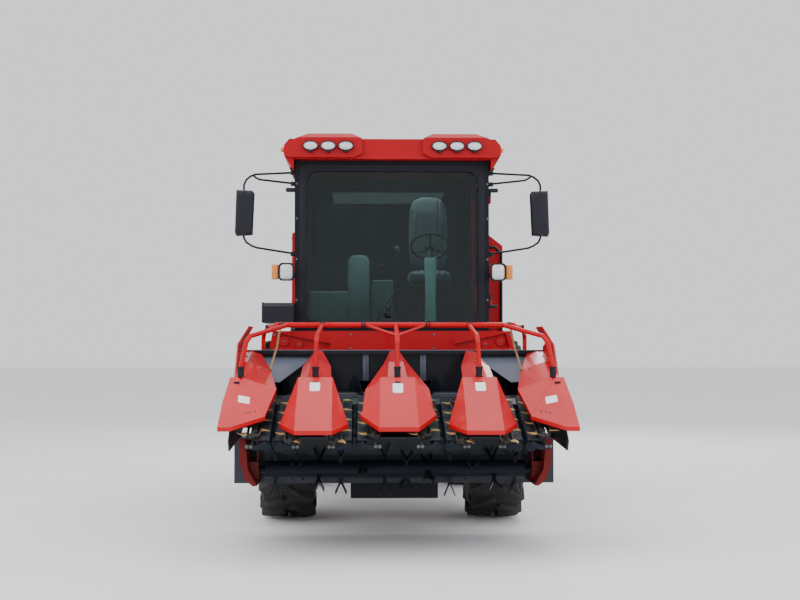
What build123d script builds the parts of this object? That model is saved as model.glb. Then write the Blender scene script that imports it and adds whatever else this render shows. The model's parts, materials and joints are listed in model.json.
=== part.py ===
from build123d import *
import os
from math import atan, cos, degrees, pi, radians, sin, tan

# Self-propelled corn harvester with a four-row picking header, in millimetres.
# +Z is up, the machine faces -Y, and +X is the driver's left.
# The origin is on the ground below the middle of the whole machine.

# Overall
HALF_LENGTH = 3640
# wheels and axles
FRONT_AXLE_Y = -850
FRONT_TYRE_R = 780
FRONT_TYRE_HALF_W = 235
FRONT_RIM_R = 381
FRONT_WHEEL_X = 900
REAR_AXLE_Y = 2100
REAR_TYRE_R = 485
REAR_TYRE_HALF_W = 155
REAR_RIM_R = 229
REAR_WHEEL_X = 830
KINGPIN_X = 620
# chassis
RAIL_X = 450
RAIL_W = 80
RAIL_Z = (960, 1120)
RAIL_Y = (-1250, 3350)
# cab
CAB_HALF_W = 834
CAB_Y = (-1330, 130)
CAB_FLOOR_Z = (1600, 1650)
CAB_TOP_Z = 3100
POST_W = 88
ROOF_TOP_Z = 3324
# header
HEADER_PIVOT_Y = -150
HEADER_PIVOT_Z = 1400
DIVIDER_X = 605
ROW_X = (-895, -315, 315, 895)
DECK_SLOPE = 18
DECK_FRONT_Y = -3480
DECK_FRONT_Z = 835
DECK_LENGTH = 900
AUGER_Y = -2290
AUGER_Z = 1085
AUGER_R = 188
HEADER_HALF_W = 1200
BACK_WALL_Y = (-2080, -2068)
BACK_WALL_TOP_Z = 1440
CHOPPER_Y = -2400
CHOPPER_Z = 545
# ear tank
TANK_Y = (2050, 3550)
TANK_HALF_W = 1000
TANK_FLOOR_Z = 1570
TANK_TOP_Z = 2750
TANK_HINGE_X = 1000
TANK_HINGE_Z = 2150
TOW_PIN_R = 16

os.makedirs("parts", exist_ok=True)


# Small helpers
def block(x, y, z, mode=Mode.ADD):
    """A box between two X, two Y and two Z values."""
    middle = ((x[0] + x[1]) / 2, (y[0] + y[1]) / 2, (z[0] + z[1]) / 2)
    with Locations(middle):
        Box(abs(x[1] - x[0]), abs(y[1] - y[0]), abs(z[1] - z[0]), mode=mode)


def rod(start, end, radius, mode=Mode.ADD):
    """A round bar from one point to another."""
    way = Vector(*end) - Vector(*start)
    with Locations(Plane(origin=start, z_dir=way)):
        Cylinder(radius, way.length, align=(Align.CENTER, Align.CENTER, Align.MIN), mode=mode)


def tube(points, radius, ease, sides=10):
    """A many-sided tube along straight runs, each corner eased by one short slanting run."""
    corners = [Vector(*point) for point in points]
    route_points = [corners[0]]
    for before, corner, after in zip(corners, corners[1:], corners[2:]):
        route_points.append(corner + (before - corner).normalized() * ease)
        route_points.append(corner + (after - corner).normalized() * ease)
    route_points.append(corners[-1])
    with BuildLine() as route:
        Polyline(*route_points)
    with BuildSketch(Plane(origin=corners[0], z_dir=corners[1] - corners[0])) as section:
        RegularPolygon(radius, sides)
    sweep(section.sketch, path=route.line, transition=Transition.RIGHT)


def sheet(points, lift):
    """A flat sheet between a polygon in space and its copy moved by lift."""
    add(Solid.extrude(Face(Wire.make_polygon([Vector(*point) for point in points])), Vector(*lift)))


def side_plate(outline, x, mode=Mode.ADD):
    """A flat plate whose (y, z) outline lies between two X values."""
    with BuildSketch(Plane.YZ.offset(min(x))) as profile:
        Polygon(*outline, align=None)
    extrude(profile.sketch, amount=abs(x[1] - x[0]), mode=mode)


def front_plate(outline, y, mode=Mode.ADD):
    """A flat plate whose (x, z) outline lies between two Y values."""
    with BuildSketch(Plane.XZ.offset(-max(y))) as profile:
        Polygon(*outline, align=None)
    extrude(profile.sketch, amount=abs(y[1] - y[0]), mode=mode)


def keep(builder, name):
    """Names a finished piece and writes it to its own file."""
    builder.part.label = name
    export_step(builder.part, f"parts/{name}.step")


# Chassis
INNER_X = RAIL_X - RAIL_W / 2
OUTER_X = RAIL_X + RAIL_W / 2
CROSS_MEMBERS_Y = (200, 700, 1150, 1600, 2100, 2700, 3300)
OUTRIGGERS_Y = (420, 640, 1150, 1400)
with BuildPart() as chassis_rails:
    for side in (-1, 1):
        inner, outer = side * INNER_X, side * OUTER_X
        block((inner, outer), RAIL_Y, RAIL_Z)
        # cab posts and the ears that hold the feeder's pivot shaft
        for post_y in (-1200, 80):
            block((inner, outer), (post_y - 35, post_y + 35), (RAIL_Z[1], CAB_FLOOR_Z[0]))
        block((inner, side * (RAIL_X - 10)), (-230, -70), (RAIL_Z[1], HEADER_PIVOT_Z + 80))
        # bracket that reaches forward to the front panel
        block((inner, outer), (-1345, -1235), (1490, 1550))
    rod((-RAIL_X, HEADER_PIVOT_Y, HEADER_PIVOT_Z), (RAIL_X, HEADER_PIVOT_Y, HEADER_PIVOT_Z), 31, Mode.SUBTRACT)
keep(chassis_rails, "chassis_rails")

with BuildPart() as cross_members:
    for member_y in CROSS_MEMBERS_Y:
        block((-INNER_X, INNER_X), (member_y - 40, member_y + 40), (RAIL_Z[0] + 10, RAIL_Z[1] - 40))
    for arm_y in OUTRIGGERS_Y:
        for side in (-1, 1):
            block((side * OUTER_X, side * 1000), (arm_y - 30, arm_y + 30), (RAIL_Z[1] - 70, RAIL_Z[1]))
    # cradle ears for the rear axle
    for ear_y in (REAR_AXLE_Y - 110, REAR_AXLE_Y + 110):
        block((-90, 90), (ear_y - 15, ear_y + 15), (560, RAIL_Z[0] + 10))
    block((-90, 90), (REAR_AXLE_Y - 125, REAR_AXLE_Y + 125), (RAIL_Z[0] - 20, RAIL_Z[0] + 10))
keep(cross_members, "cross_members")

with BuildPart() as rear_bar:
    for side in (-1, 1):
        block((side * INNER_X, side * OUTER_X), (RAIL_Y[1], 3540), (1000, 1100))
    block((-900, 900), (3540, 3600), (1000, 1100))
    # towing clevis at the tail
    for ear_z in ((1085, 1100), (1000, 1015)):
        block((-50, 50), (3600, HALF_LENGTH), ear_z)
    rod((0, HALF_LENGTH - 20, 990), (0, HALF_LENGTH - 20, 1110), TOW_PIN_R, Mode.SUBTRACT)
keep(rear_bar, "rear_bar")

# lift cylinder pins: y, z on the axle and on the feeder house, and their X places
LIFT_X = (-260, 260)
LIFT_BASE = (-1050, 640)
LIFT_EYE = (-1800, 840)
PIN_R = 16
with BuildPart() as front_axle:
    block((-600, 600), (FRONT_AXLE_Y - 85, FRONT_AXLE_Y + 85), (FRONT_TYRE_R - 85, FRONT_TYRE_R + 85))
    block((-170, 170), (FRONT_AXLE_Y - 150, FRONT_AXLE_Y + 170), (640, 930))
    for side in (-1, 1):
        rod((side * 590, FRONT_AXLE_Y, FRONT_TYRE_R), (side * 800, FRONT_AXLE_Y, FRONT_TYRE_R), 165)
        rod((side * 760, FRONT_AXLE_Y, FRONT_TYRE_R), (side * 801, FRONT_AXLE_Y, FRONT_TYRE_R), 46, Mode.SUBTRACT)
        block((side * 410, side * 490), (FRONT_AXLE_Y - 80, FRONT_AXLE_Y + 80), (FRONT_TYRE_R + 80, RAIL_Z[0]))
    for lift_x in LIFT_X:
        for ear_x in (lift_x - 40, lift_x + 40):
            side_plate([(LIFT_BASE[0] - 32, 608), (LIFT_BASE[0] - 32, 672), (-935, 860), (-935, 700), (-960, 640)],
                       (ear_x - 8, ear_x + 8))
        rod((lift_x - 54, LIFT_BASE[0], LIFT_BASE[1]), (lift_x + 54, LIFT_BASE[0], LIFT_BASE[1]), PIN_R)
keep(front_axle, "front_axle")

with BuildPart() as rear_axle:
    block((-544, 544), (REAR_AXLE_Y - 65, REAR_AXLE_Y + 65), (REAR_TYRE_R - 65, REAR_TYRE_R + 65))
    block((-60, 60), (REAR_AXLE_Y - 95, REAR_AXLE_Y + 95), (REAR_TYRE_R + 60, 660))
    for side in (-1, 1):
        for ear_z in ((REAR_TYRE_R + 50, REAR_TYRE_R + 80), (REAR_TYRE_R - 80, REAR_TYRE_R - 50)):
            block((side * 520, side * 650), (REAR_AXLE_Y - 45, REAR_AXLE_Y + 45), ear_z)
keep(rear_axle, "rear_axle")


# Wheels
TYRE_SIDES = 36
RIM_SIDES = 24


def many_sided(x, y, z, flat_r, sides):
    """An upright many-sided outline across the axle, with one flat at the bottom."""
    with BuildSketch(Plane.YZ.offset(x)) as outline:
        with Locations((y, z)):
            RegularPolygon(flat_r, sides, major_radius=False, rotation=180 / sides)
    return outline.sketch


def drum(x, y, z, flat_r, sides, mode=Mode.ADD):
    """A many-sided drum between two X values."""
    extrude(many_sided(min(x), y, z, flat_r, sides), amount=abs(x[1] - x[0]), mode=mode)


def carcass(x, y, rim_r, half_w, out_r, axle_z):
    """A tyre without its lugs: both sidewalls bulge, the tread is flat and the bead sits on the rim."""
    bead_half_w, bead_r = half_w - 41, rim_r + 24
    bulge_r = rim_r + 0.5 * (out_r - rim_r)
    tread_half_w = half_w - 26
    shoulder_slope = degrees(atan((out_r - bulge_r) / (half_w - tread_half_w)))
    bead_slope = degrees(atan((bulge_r - bead_r) / (half_w - bead_half_w)))
    drum((x - tread_half_w, x + tread_half_w), y, axle_z, out_r, TYRE_SIDES)
    for side in (-1, 1):
        shoulder = many_sided(x + side * tread_half_w, y, axle_z, out_r, TYRE_SIDES)
        extrude(shoulder, amount=side * (half_w - tread_half_w), taper=shoulder_slope)
    for side in (-1, 1):
        hollow = many_sided(x + side * half_w, y, axle_z, bulge_r, TYRE_SIDES)
        extrude(hollow, amount=side * (bead_half_w - half_w), taper=bead_slope, mode=Mode.SUBTRACT)
    drum((x - half_w, x + half_w), y, axle_z, rim_r + 3, RIM_SIDES, Mode.SUBTRACT)


# slanting lugs of the driven tyres; two lug corners share the ground
LUGS_PER_SIDE = 18
LUG_LENGTH = 250
LUG_WIDTH = 44
LUG_SLANT = radians(40)
LUG_FOOT_R = 640
LUG_REACH = (LUG_LENGTH * sin(LUG_SLANT) + LUG_WIDTH * cos(LUG_SLANT)) / 2
LUG_PHASE = radians(90 / LUGS_PER_SIDE)
LUG_TOP_R = (FRONT_TYRE_R - LUG_REACH * sin(LUG_PHASE)) / cos(LUG_PHASE)


def lugged_tyre(name, x):
    """The driven tyre: the inner ends of its lugs lead, so they point down on its front."""
    with BuildPart() as made:
        carcass(x, FRONT_AXLE_Y, FRONT_RIM_R, FRONT_TYRE_HALF_W, 738, FRONT_TYRE_R)
        for half in (-1, 1):
            for count in range(LUGS_PER_SIDE):
                turn = LUG_PHASE * half + count * 2 * pi / LUGS_PER_SIDE
                outwards = Vector(0, -sin(turn), -cos(turn))
                along = Vector(half * cos(LUG_SLANT), -cos(turn) * sin(LUG_SLANT), sin(turn) * sin(LUG_SLANT))
                middle = Vector(x + half * 118, FRONT_AXLE_Y, FRONT_TYRE_R) + outwards * (LUG_TOP_R + LUG_FOOT_R) / 2
                with Locations(Plane(origin=middle, x_dir=along, z_dir=outwards)):
                    Box(LUG_LENGTH, LUG_WIDTH, LUG_TOP_R - LUG_FOOT_R)
    keep(made, name)


def plain_tyre(name, x):
    """The steered tyre, with a plain tread."""
    with BuildPart() as made:
        carcass(x, REAR_AXLE_Y, REAR_RIM_R, REAR_TYRE_HALF_W, REAR_TYRE_R, REAR_TYRE_R)
    keep(made, name)


def rim(name, x, y, rim_r, half_w, out_r, disc_x, shaft_r):
    """A rim with its disc at disc_x, a bore or shaft at the middle and a hub that looks outwards."""
    outward = 1 if x > 0 else -1
    edge = half_w - 28
    with BuildPart() as made:
        drum((x - edge, x + edge), y, out_r, rim_r + 3, RIM_SIDES)
        for end in (-1, 1):
            drum((x + end * edge, x + end * (edge - 12)), y, out_r, rim_r + 22, RIM_SIDES)
        drum((x - edge, x + edge), y, out_r, rim_r - 14, RIM_SIDES, Mode.SUBTRACT)
        drum((disc_x, disc_x + outward * 18), y, out_r, rim_r - 14, RIM_SIDES)
        drum((disc_x, disc_x + outward * 75), y, out_r, 0.3 * rim_r, 12)
        if shaft_r > 0:
            rod((disc_x - outward * 40, y, out_r), (disc_x + outward * 5, y, out_r), shaft_r)
        else:
            rod((disc_x - outward, y, out_r), (disc_x + outward * 62, y, out_r), -shaft_r, Mode.SUBTRACT)
    keep(made, name)


FRONT_SHAFT_R = 45
SPINDLE_R = 30
for side_name, side in (("left", 1), ("right", -1)):
    lugged_tyre(f"front_tyre_{side_name}", side * FRONT_WHEEL_X)
    rim(f"front_rim_{side_name}", side * FRONT_WHEEL_X, FRONT_AXLE_Y, FRONT_RIM_R, FRONT_TYRE_HALF_W,
        FRONT_TYRE_R, side * 806, FRONT_SHAFT_R)
    plain_tyre(f"rear_tyre_{side_name}", side * REAR_WHEEL_X)
    rim(f"rear_rim_{side_name}", side * REAR_WHEEL_X, REAR_AXLE_Y, REAR_RIM_R, REAR_TYRE_HALF_W,
        REAR_TYRE_R, side * 800, -(SPINDLE_R + 1))

# steering knuckles: kingpin, body, spindle into the hub, arm that points rearwards
TIE_ROD_Y = REAR_AXLE_Y + 165
ARM_TOP_Z = REAR_TYRE_R + 12
for side_name, side in (("left", 1), ("right", -1)):
    pin_x = side * KINGPIN_X
    with BuildPart() as knuckle:
        rod((pin_x, REAR_AXLE_Y, REAR_TYRE_R - 49.5), (pin_x, REAR_AXLE_Y, REAR_TYRE_R + 49.5), 38)
        rod((pin_x, REAR_AXLE_Y, REAR_TYRE_R), (side * 780, REAR_AXLE_Y, REAR_TYRE_R), 36)
        rod((side * 780, REAR_AXLE_Y, REAR_TYRE_R), (side * 860, REAR_AXLE_Y, REAR_TYRE_R), SPINDLE_R)
        block((pin_x - 26, pin_x + 26), (REAR_AXLE_Y, TIE_ROD_Y + 30), (REAR_TYRE_R - 12, ARM_TOP_Z))
    keep(knuckle, f"knuckle_{side_name}")

with BuildPart() as tie_rod:
    rod((-KINGPIN_X, TIE_ROD_Y, ARM_TOP_Z + 26), (KINGPIN_X, TIE_ROD_Y, ARM_TOP_Z + 26), 16)
    for side in (-1, 1):
        rod((side * KINGPIN_X, TIE_ROD_Y, ARM_TOP_Z + 0.5), (side * KINGPIN_X, TIE_ROD_Y, ARM_TOP_Z + 50), 22)
keep(tie_rod, "tie_rod")

# Cab
FRAME_Z = (CAB_FLOOR_Z[1], CAB_TOP_Z)
GLASS_HALF_W = CAB_HALF_W - POST_W
REAR_PANEL_TOP = 2350
SIDE_Y = (CAB_Y[0] + 80, CAB_Y[1] - 70)
SIDE_PANEL_TOP = 2050
HINGE_X = CAB_HALF_W + 14
HINGE_Y = CAB_Y[0] + 80
HINGES_Z = (1900, 2800)
with BuildPart() as cab_frame:
    block((-CAB_HALF_W, CAB_HALF_W), CAB_Y, CAB_FLOOR_Z)
    for side in (-1, 1):
        inner, outer = side * GLASS_HALF_W, side * CAB_HALF_W
        for post_y in ((CAB_Y[0], CAB_Y[0] + 80), (CAB_Y[1] - 70, CAB_Y[1])):
            block((inner, outer), post_y, FRAME_Z)
        block((inner, outer), CAB_Y, (CAB_TOP_Z - 85, CAB_TOP_Z))
        block((inner, outer), CAB_Y, (FRAME_Z[0], FRAME_Z[0] + 45))
    # lower panels of the rear wall and of the driver's right
    block((-GLASS_HALF_W, GLASS_HALF_W), (CAB_Y[1] - 50, CAB_Y[1] - 20), (FRAME_Z[0] + 60, REAR_PANEL_TOP))
    block((-CAB_HALF_W + 20, -CAB_HALF_W + 60), SIDE_Y, (FRAME_Z[0] + 45, SIDE_PANEL_TOP))
    for bar_y in ((CAB_Y[0], CAB_Y[0] + 80), (CAB_Y[1] - 70, CAB_Y[1])):
        block((-CAB_HALF_W, CAB_HALF_W), bar_y, (CAB_TOP_Z - 85, CAB_TOP_Z))
        block((-CAB_HALF_W, CAB_HALF_W), bar_y, (FRAME_Z[0], FRAME_Z[0] + 60))
    # the frame's halves of the door hinges
    for hinge_z in HINGES_Z:
        block((CAB_HALF_W - 4, HINGE_X), (HINGE_Y - 30, HINGE_Y - 6), (hinge_z, hinge_z + 50))
        rod((HINGE_X, HINGE_Y, hinge_z), (HINGE_X, HINGE_Y, hinge_z + 50), 12)
keep(cab_frame, "cab_frame")

with BuildPart() as cab_windows:
    block((-GLASS_HALF_W, GLASS_HALF_W), (CAB_Y[0] + 20, CAB_Y[0] + 28), (FRAME_Z[0] + 60, CAB_TOP_Z - 85))
    block((-GLASS_HALF_W, GLASS_HALF_W), (CAB_Y[1] - 39, CAB_Y[1] - 31), (REAR_PANEL_TOP, CAB_TOP_Z - 85))
    block((-CAB_HALF_W + 34, -CAB_HALF_W + 42), SIDE_Y, (SIDE_PANEL_TOP, CAB_TOP_Z - 85))
keep(cab_windows, "cab_windows")

# door on the driver's left, hinged at its front edge
DOOR_Y = (SIDE_Y[0] + 8, SIDE_Y[1] - 8)
DOOR_Z = (FRAME_Z[0] + 53, CAB_TOP_Z - 93)
DOOR_X = (CAB_HALF_W - 44, CAB_HALF_W - 2)
with BuildPart() as cab_door:
    block(DOOR_X, DOOR_Y, DOOR_Z)
    block(DOOR_X, (DOOR_Y[0] + 60, DOOR_Y[1] - 60), (SIDE_PANEL_TOP, DOOR_Z[1] - 60), Mode.SUBTRACT)
    # the door's halves of the hinges
    for hinge_z in HINGES_Z:
        rod((HINGE_X, HINGE_Y, hinge_z - 60), (HINGE_X, HINGE_Y, hinge_z - 1), 12)
        block((DOOR_X[1] - 4, HINGE_X), (HINGE_Y + 6, DOOR_Y[0] + 40), (hinge_z - 60, hinge_z - 1))
    # grab handle
    tube([(DOOR_X[1] - 2, DOOR_Y[1] - 30, 2000), (DOOR_X[1] + 45, DOOR_Y[1] - 30, 2000),
          (DOOR_X[1] + 45, DOOR_Y[1] - 30, 2350), (DOOR_X[1] - 2, DOOR_Y[1] - 30, 2350)], 11, 14, 8)
keep(cab_door, "cab_door")
with BuildPart() as door_window:
    block((DOOR_X[0] + 17, DOOR_X[0] + 25), (DOOR_Y[0] + 60, DOOR_Y[1] - 60), (SIDE_PANEL_TOP, DOOR_Z[1] - 60))
keep(door_window, "door_window")

# roof outline columns: x, z, for one half
ROOF_HALF = [(0, 3273), (880, 3273), (925, 3222), (925, 3130), (860, 3020), (842, 3020), (842, CAB_TOP_Z), (0, CAB_TOP_Z)]
# the raised lamp housing at either side of the roof's front
LAMP_POD = [(255, 3150), (262, 3273), (345, ROOF_TOP_Z), (720, ROOF_TOP_Z), (905, 3232), (925, 3205), (925, 3130),
            (880, 3110), (330, 3110)]
LAMPS_X = (398, 548, 698)
with BuildPart() as cab_roof:
    front_plate(ROOF_HALF + [(-x, z) for x, z in reversed(ROOF_HALF[1:-1])], (-1440, 200))
    side_plate([(-500, 3274), (201, 3274), (201, 3232)], (-930, 930), Mode.SUBTRACT)
    for side in (-1, 1):
        front_plate([(side * x, z) for x, z in LAMP_POD], (-1480, -520))
    side_plate([(-1150, ROOF_TOP_Z + 1), (-519, ROOF_TOP_Z + 1), (-519, 3273)], (-930, 930), Mode.SUBTRACT)
    side_plate([(-1481, ROOF_TOP_Z + 1), (-1400, ROOF_TOP_Z + 1), (-1481, 3280)], (-930, 930), Mode.SUBTRACT)
keep(cab_roof, "cab_roof")

with BuildPart() as roof_lamps:
    for side in (-1, 1):
        for lamp_x in LAMPS_X:
            with BuildSketch(Plane.XZ.offset(1480)) as lens:
                with Locations((side * lamp_x, 3206)):
                    Ellipse(63, 38)
            extrude(lens.sketch, amount=34)
        # side marker
        block((side * 925, side * 955), (-1400, -1350), (3165, 3205))
keep(roof_lamps, "roof_lamps")

# mirrors on tube arms, both sides in one node
# mirror outline columns: x, z
MIRROR = [(1188, 2445), (1326, 2437), (1340, 2466), (1328, 2834), (1190, 2828), (1172, 2800)]
with BuildPart() as mirrors:
    for side in (-1, 1):
        front_plate([(side * x, z) for x, z in MIRROR], (-1490, -1430))
keep(mirrors, "mirrors")
with BuildPart() as mirror_arms:
    for side in (-1, 1):
        tube([(side * 842, -1290, 3000), (side * 1190, -1440, 2965), (side * 1262, -1460, 2900), (side * 1262, -1460, 2825)],
             9, 25, 8)
        tube([(side * 842, -1290, 2905), (side * 1150, -1430, 2925), (side * 1190, -1440, 2962)], 9, 20, 8)
        tube([(side * 842, -1290, 2300), (side * 1180, -1440, 2345), (side * 1262, -1460, 2400), (side * 1262, -1460, 2442)],
             9, 25, 8)
        # foot plates on the cab's corner post
        for foot_z in (2300, 2905, 3000):
            block((side * CAB_HALF_W, side * 846), (-1315, -1265), (foot_z - 22, foot_z + 15))
    add(mirrors.part, mode=Mode.SUBTRACT)
keep(mirror_arms, "mirror_arms")

with BuildPart() as headlamps:
    for side in (-1, 1):
        side_plate([(-1440, 2060), (-1440, 2214), (-1400, 2214), (-1345, 2180), (-1345, 2085), (-1400, 2060)],
                   (side * 838, side * 970))
        block((side * 970, side * 1030), (-1425, -1345), (2072, 2202))
        block((side * CAB_HALF_W, side * 850), (-1400, -1330), (2090, 2130))
        block((side * CAB_HALF_W, side * 846), (-1400, -1290), (2096, 2124))
keep(headlamps, "headlamps")

PANEL_Y = (-1480, -1345)
with BuildPart() as front_panel:
    front_plate([(-1040, 1500), (-1015, 1633), (1015, 1633), (1040, 1500), (1020, 1455), (-1020, 1455)], PANEL_Y)
    for side in (-1, 1):
        # wedge-shaped recess with two round bosses
        front_plate([(side * 519, 1523), (side * 959, 1612), (side * 993, 1493), (side * 548, 1482)],
                    (PANEL_Y[0], PANEL_Y[0] + 25), Mode.SUBTRACT)
        for boss_x, boss_z, boss_r in ((789, 1520, 34), (918, 1546, 40)):
            rod((side * boss_x, PANEL_Y[0] + 8, boss_z), (side * boss_x, PANEL_Y[0] + 30, boss_z), boss_r)
keep(front_panel, "front_panel")

with BuildPart() as right_fender:
    side_plate([(-1560, 1700), (-1560, 1840), (-1530, 1870), (-300, 1870), (-270, 1840), (-270, 1700)],
               (-1095, -CAB_HALF_W))
keep(right_fender, "right_fender")

with BuildPart() as seat:
    block((150, 570), (-650, -200), (2060, 2200))
    side_plate([(-330, 2190), (-250, 2900), (-170, 2900), (-190, 2190)], (170, 550))
    block((230, 490), (-540, -260), (FRAME_Z[0], 2060))
keep(seat, "seat")
WHEEL_AT = (340, -985, 2385)
with BuildPart() as steering_console:
    side_plate([(-1190, FRAME_Z[0]), (-1170, 2080), (-1140, 2280), (-1040, 2280), (-1050, 2080), (-1060, FRAME_Z[0])], (285, 395))
    rod((WHEEL_AT[0], -1090, 2250), WHEEL_AT, 22)
    with BuildSketch(Plane(origin=WHEEL_AT, x_dir=(1, 0, 0), z_dir=(0, 105, 135))) as wheel:
        RegularPolygon(178, 20)
        RegularPolygon(154, 20, mode=Mode.SUBTRACT)
        for turn in (90, 210, 330):
            with Locations(Location((0, 0, 0), (0, 0, turn))):
                Rectangle(162, 26, align=(Align.MIN, Align.CENTER))
    extrude(wheel.sketch, amount=20)
keep(steering_console, "steering_console")

# platform and ladder on the driver's left
with BuildPart() as ladder:
    block((CAB_HALF_W, 1130), (-60, 480), (1600, 1640))
    for rail_y in (20, 440):
        block((1100, 1130), (rail_y - 15, rail_y + 15), (620, 1600))
    for step_z in (640, 880, 1120, 1360):
        block((1060, 1170), (20, 440), (step_z, step_z + 30))
    tube([(1115, 465, 1630), (1115, 465, 2480), (870, 465, 2480), (870, 465, 1630)], 15, 60, 8)
    block((RAIL_X + RAIL_W / 2, CAB_HALF_W), (215, 265), (1600, 1640))
    block((RAIL_X + RAIL_W / 2, RAIL_X + RAIL_W / 2 + 30), (215, 265), (RAIL_Z[0] + 20, 1600))
keep(ladder, "ladder")

# Body behind the cab
with BuildPart() as engine:
    block((-420, 480), (1260, 1900), (RAIL_Z[1], 1600))
keep(engine, "engine")

with BuildPart() as radiator_housing:
    front_plate([(495, 1120), (1140, 1120), (1140, 2500), (1000, 2610), (495, 2610)], (550, 1500))
    # louvred intake in the side
    block((1105, 1141), (650, 1400), (1520, 2380), Mode.SUBTRACT)
    for slat in range(12):
        slat_z = 1540 + 71 * slat
        front_plate([(1104, slat_z + 40), (1104, slat_z + 52), (1134, slat_z + 12), (1134, slat_z)], (649, 1401))
keep(radiator_housing, "radiator_housing")

with BuildPart() as fuel_tank:
    block((-1040, -500), (300, 1300), (RAIL_Z[1], 1640))
    fillet(fuel_tank.edges().filter_by(Axis.Y), 60)
keep(fuel_tank, "fuel_tank")

ELEVATOR_FOOT = (0, 330, 1260)
ELEVATOR_HEAD = (0, 1640, 2830)
ELEVATOR_WAY = Vector(*ELEVATOR_HEAD) - Vector(*ELEVATOR_FOOT)
with BuildPart() as ear_elevator:
    with Locations(Plane(origin=ELEVATOR_FOOT, x_dir=(1, 0, 0), z_dir=ELEVATOR_WAY)):
        Box(660, 380, ELEVATOR_WAY.length, align=(Align.CENTER, Align.CENTER, Align.MIN))
    side_plate([(1520, 3020), (1990, 2930), (2030, 2780), (1760, 2650)], (-330, 330))
    block((-330, 330), (1150, 1230), (RAIL_Z[1], 2300))
    block((-330, 330), (60, 560), (1060, 1400), Mode.SUBTRACT)
keep(ear_elevator, "ear_elevator")

# Ear tank
TANK_WALL = 35
TIP_BASE = (950, 1150)
TIP_EYE = (200, 1500)
TIP_Y = (2560, 3040)
STAND_Y = (2150, 3420)
with BuildPart() as tank_floor:
    front_plate([(-TANK_HALF_W, TANK_FLOOR_Z), (360, TANK_FLOOR_Z), (985, 2185), (965, 2212), (345, 1605),
                 (-TANK_HALF_W, 1605)], (TANK_Y[0] + TANK_WALL, TANK_Y[1] - TANK_WALL))
    # lugs for the tipping cylinders and for the hinge
    for tip_y in TIP_Y:
        front_plate([(TIP_EYE[0] - 40, TANK_FLOOR_Z), (TIP_EYE[0] + 28, TANK_FLOOR_Z), (TIP_EYE[0] + 18, TIP_EYE[1] - 18),
                     (TIP_EYE[0] - 18, TIP_EYE[1] - 18)], (tip_y - 10, tip_y + 10))
    for stand_y in STAND_Y:
        front_plate([(935, 2138), (985, 2185), (1024, 2165), (1024, 2130), (985, 2120)], (stand_y - 12, stand_y + 12))
        rod((TANK_HINGE_X, stand_y - 20, TANK_HINGE_Z), (TANK_HINGE_X, stand_y + 20, TANK_HINGE_Z), PIN_R + 1, Mode.SUBTRACT)
keep(tank_floor, "tank_floor")
RIB_PITCH = 340
with BuildPart() as tank_side:
    block((-TANK_HALF_W, -TANK_HALF_W + TANK_WALL), (TANK_Y[0] + TANK_WALL, TANK_Y[1] - TANK_WALL), (1605, TANK_TOP_Z))
    for rib in range(5):
        rib_y = TANK_Y[0] + 70 + RIB_PITCH * rib
        block((-TANK_HALF_W - 22, -TANK_HALF_W), (rib_y - 25, rib_y + 25), (1620, TANK_TOP_Z))
keep(tank_side, "tank_side")
with BuildPart() as tank_ends:
    for wall_y, rib_y in (((TANK_Y[0], TANK_Y[0] + TANK_WALL), TANK_Y[0] - 20), ((TANK_Y[1] - TANK_WALL, TANK_Y[1]), TANK_Y[1] + 20)):
        front_plate([(-TANK_HALF_W, TANK_FLOOR_Z), (360, TANK_FLOOR_Z), (985, 2185), (985, 2330), (420, TANK_TOP_Z),
                     (-TANK_HALF_W, TANK_TOP_Z)], wall_y)
        for rib in range(4):
            rib_x = -TANK_HALF_W + 60 + RIB_PITCH * rib
            block((rib_x - 25, rib_x + 25), (wall_y[0], rib_y), (1600, TANK_TOP_Z - 20))
        block((-TANK_HALF_W, 420), (wall_y[0], rib_y), (TANK_TOP_Z - 45, TANK_TOP_Z))
keep(tank_ends, "tank_ends")

with BuildPart() as tank_stand:
    for stand_y in STAND_Y:
        span = (stand_y - 40, stand_y + 40)
        block((-RAIL_X - 40, 1045), span, (RAIL_Z[1], 1180))
        block((975, 1045), span, (1180, 2080))
        for leg_x in (-RAIL_X, 250):
            block((leg_x - 40, leg_x + 40), span, (1180, TANK_FLOOR_Z - 6))
        # hinge ears either side of the tank's lug, with their pin
        for ear_y in (stand_y - 27, stand_y + 27):
            front_plate([(975, 2080), (1030, 2080), (1026, 2168), (985, 2168)], (ear_y - 10, ear_y + 10))
        rod((TANK_HINGE_X, stand_y - 42, TANK_HINGE_Z), (TANK_HINGE_X, stand_y + 42, TANK_HINGE_Z), PIN_R)
    block((1005, 1045), (STAND_Y[0] + 40, STAND_Y[1] - 40), (RAIL_Z[1], 1180))
    for tip_y in TIP_Y:
        for ear_y in (tip_y - 40, tip_y + 40):
            block((TIP_BASE[0] - 32, 1005), (ear_y - 8, ear_y + 8), (RAIL_Z[1], 1182))
        rod((TIP_BASE[0], tip_y - 54, TIP_BASE[1]), (TIP_BASE[0], tip_y + 54, TIP_BASE[1]), PIN_R)
keep(tank_stand, "tank_stand")

# Header
def deck_plane(x):
    """Local x is the machine's X, local y runs up and back along the deck, local z stands on it."""
    tilt = radians(DECK_SLOPE)
    return Plane(origin=(x, DECK_FRONT_Y, DECK_FRONT_Z), x_dir=(1, 0, 0), z_dir=(0, -sin(tilt), cos(tilt)))


def deck_z(y):
    """Height of the deck's underside."""
    return DECK_FRONT_Z + (y - DECK_FRONT_Y) * tan(radians(DECK_SLOPE))


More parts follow.
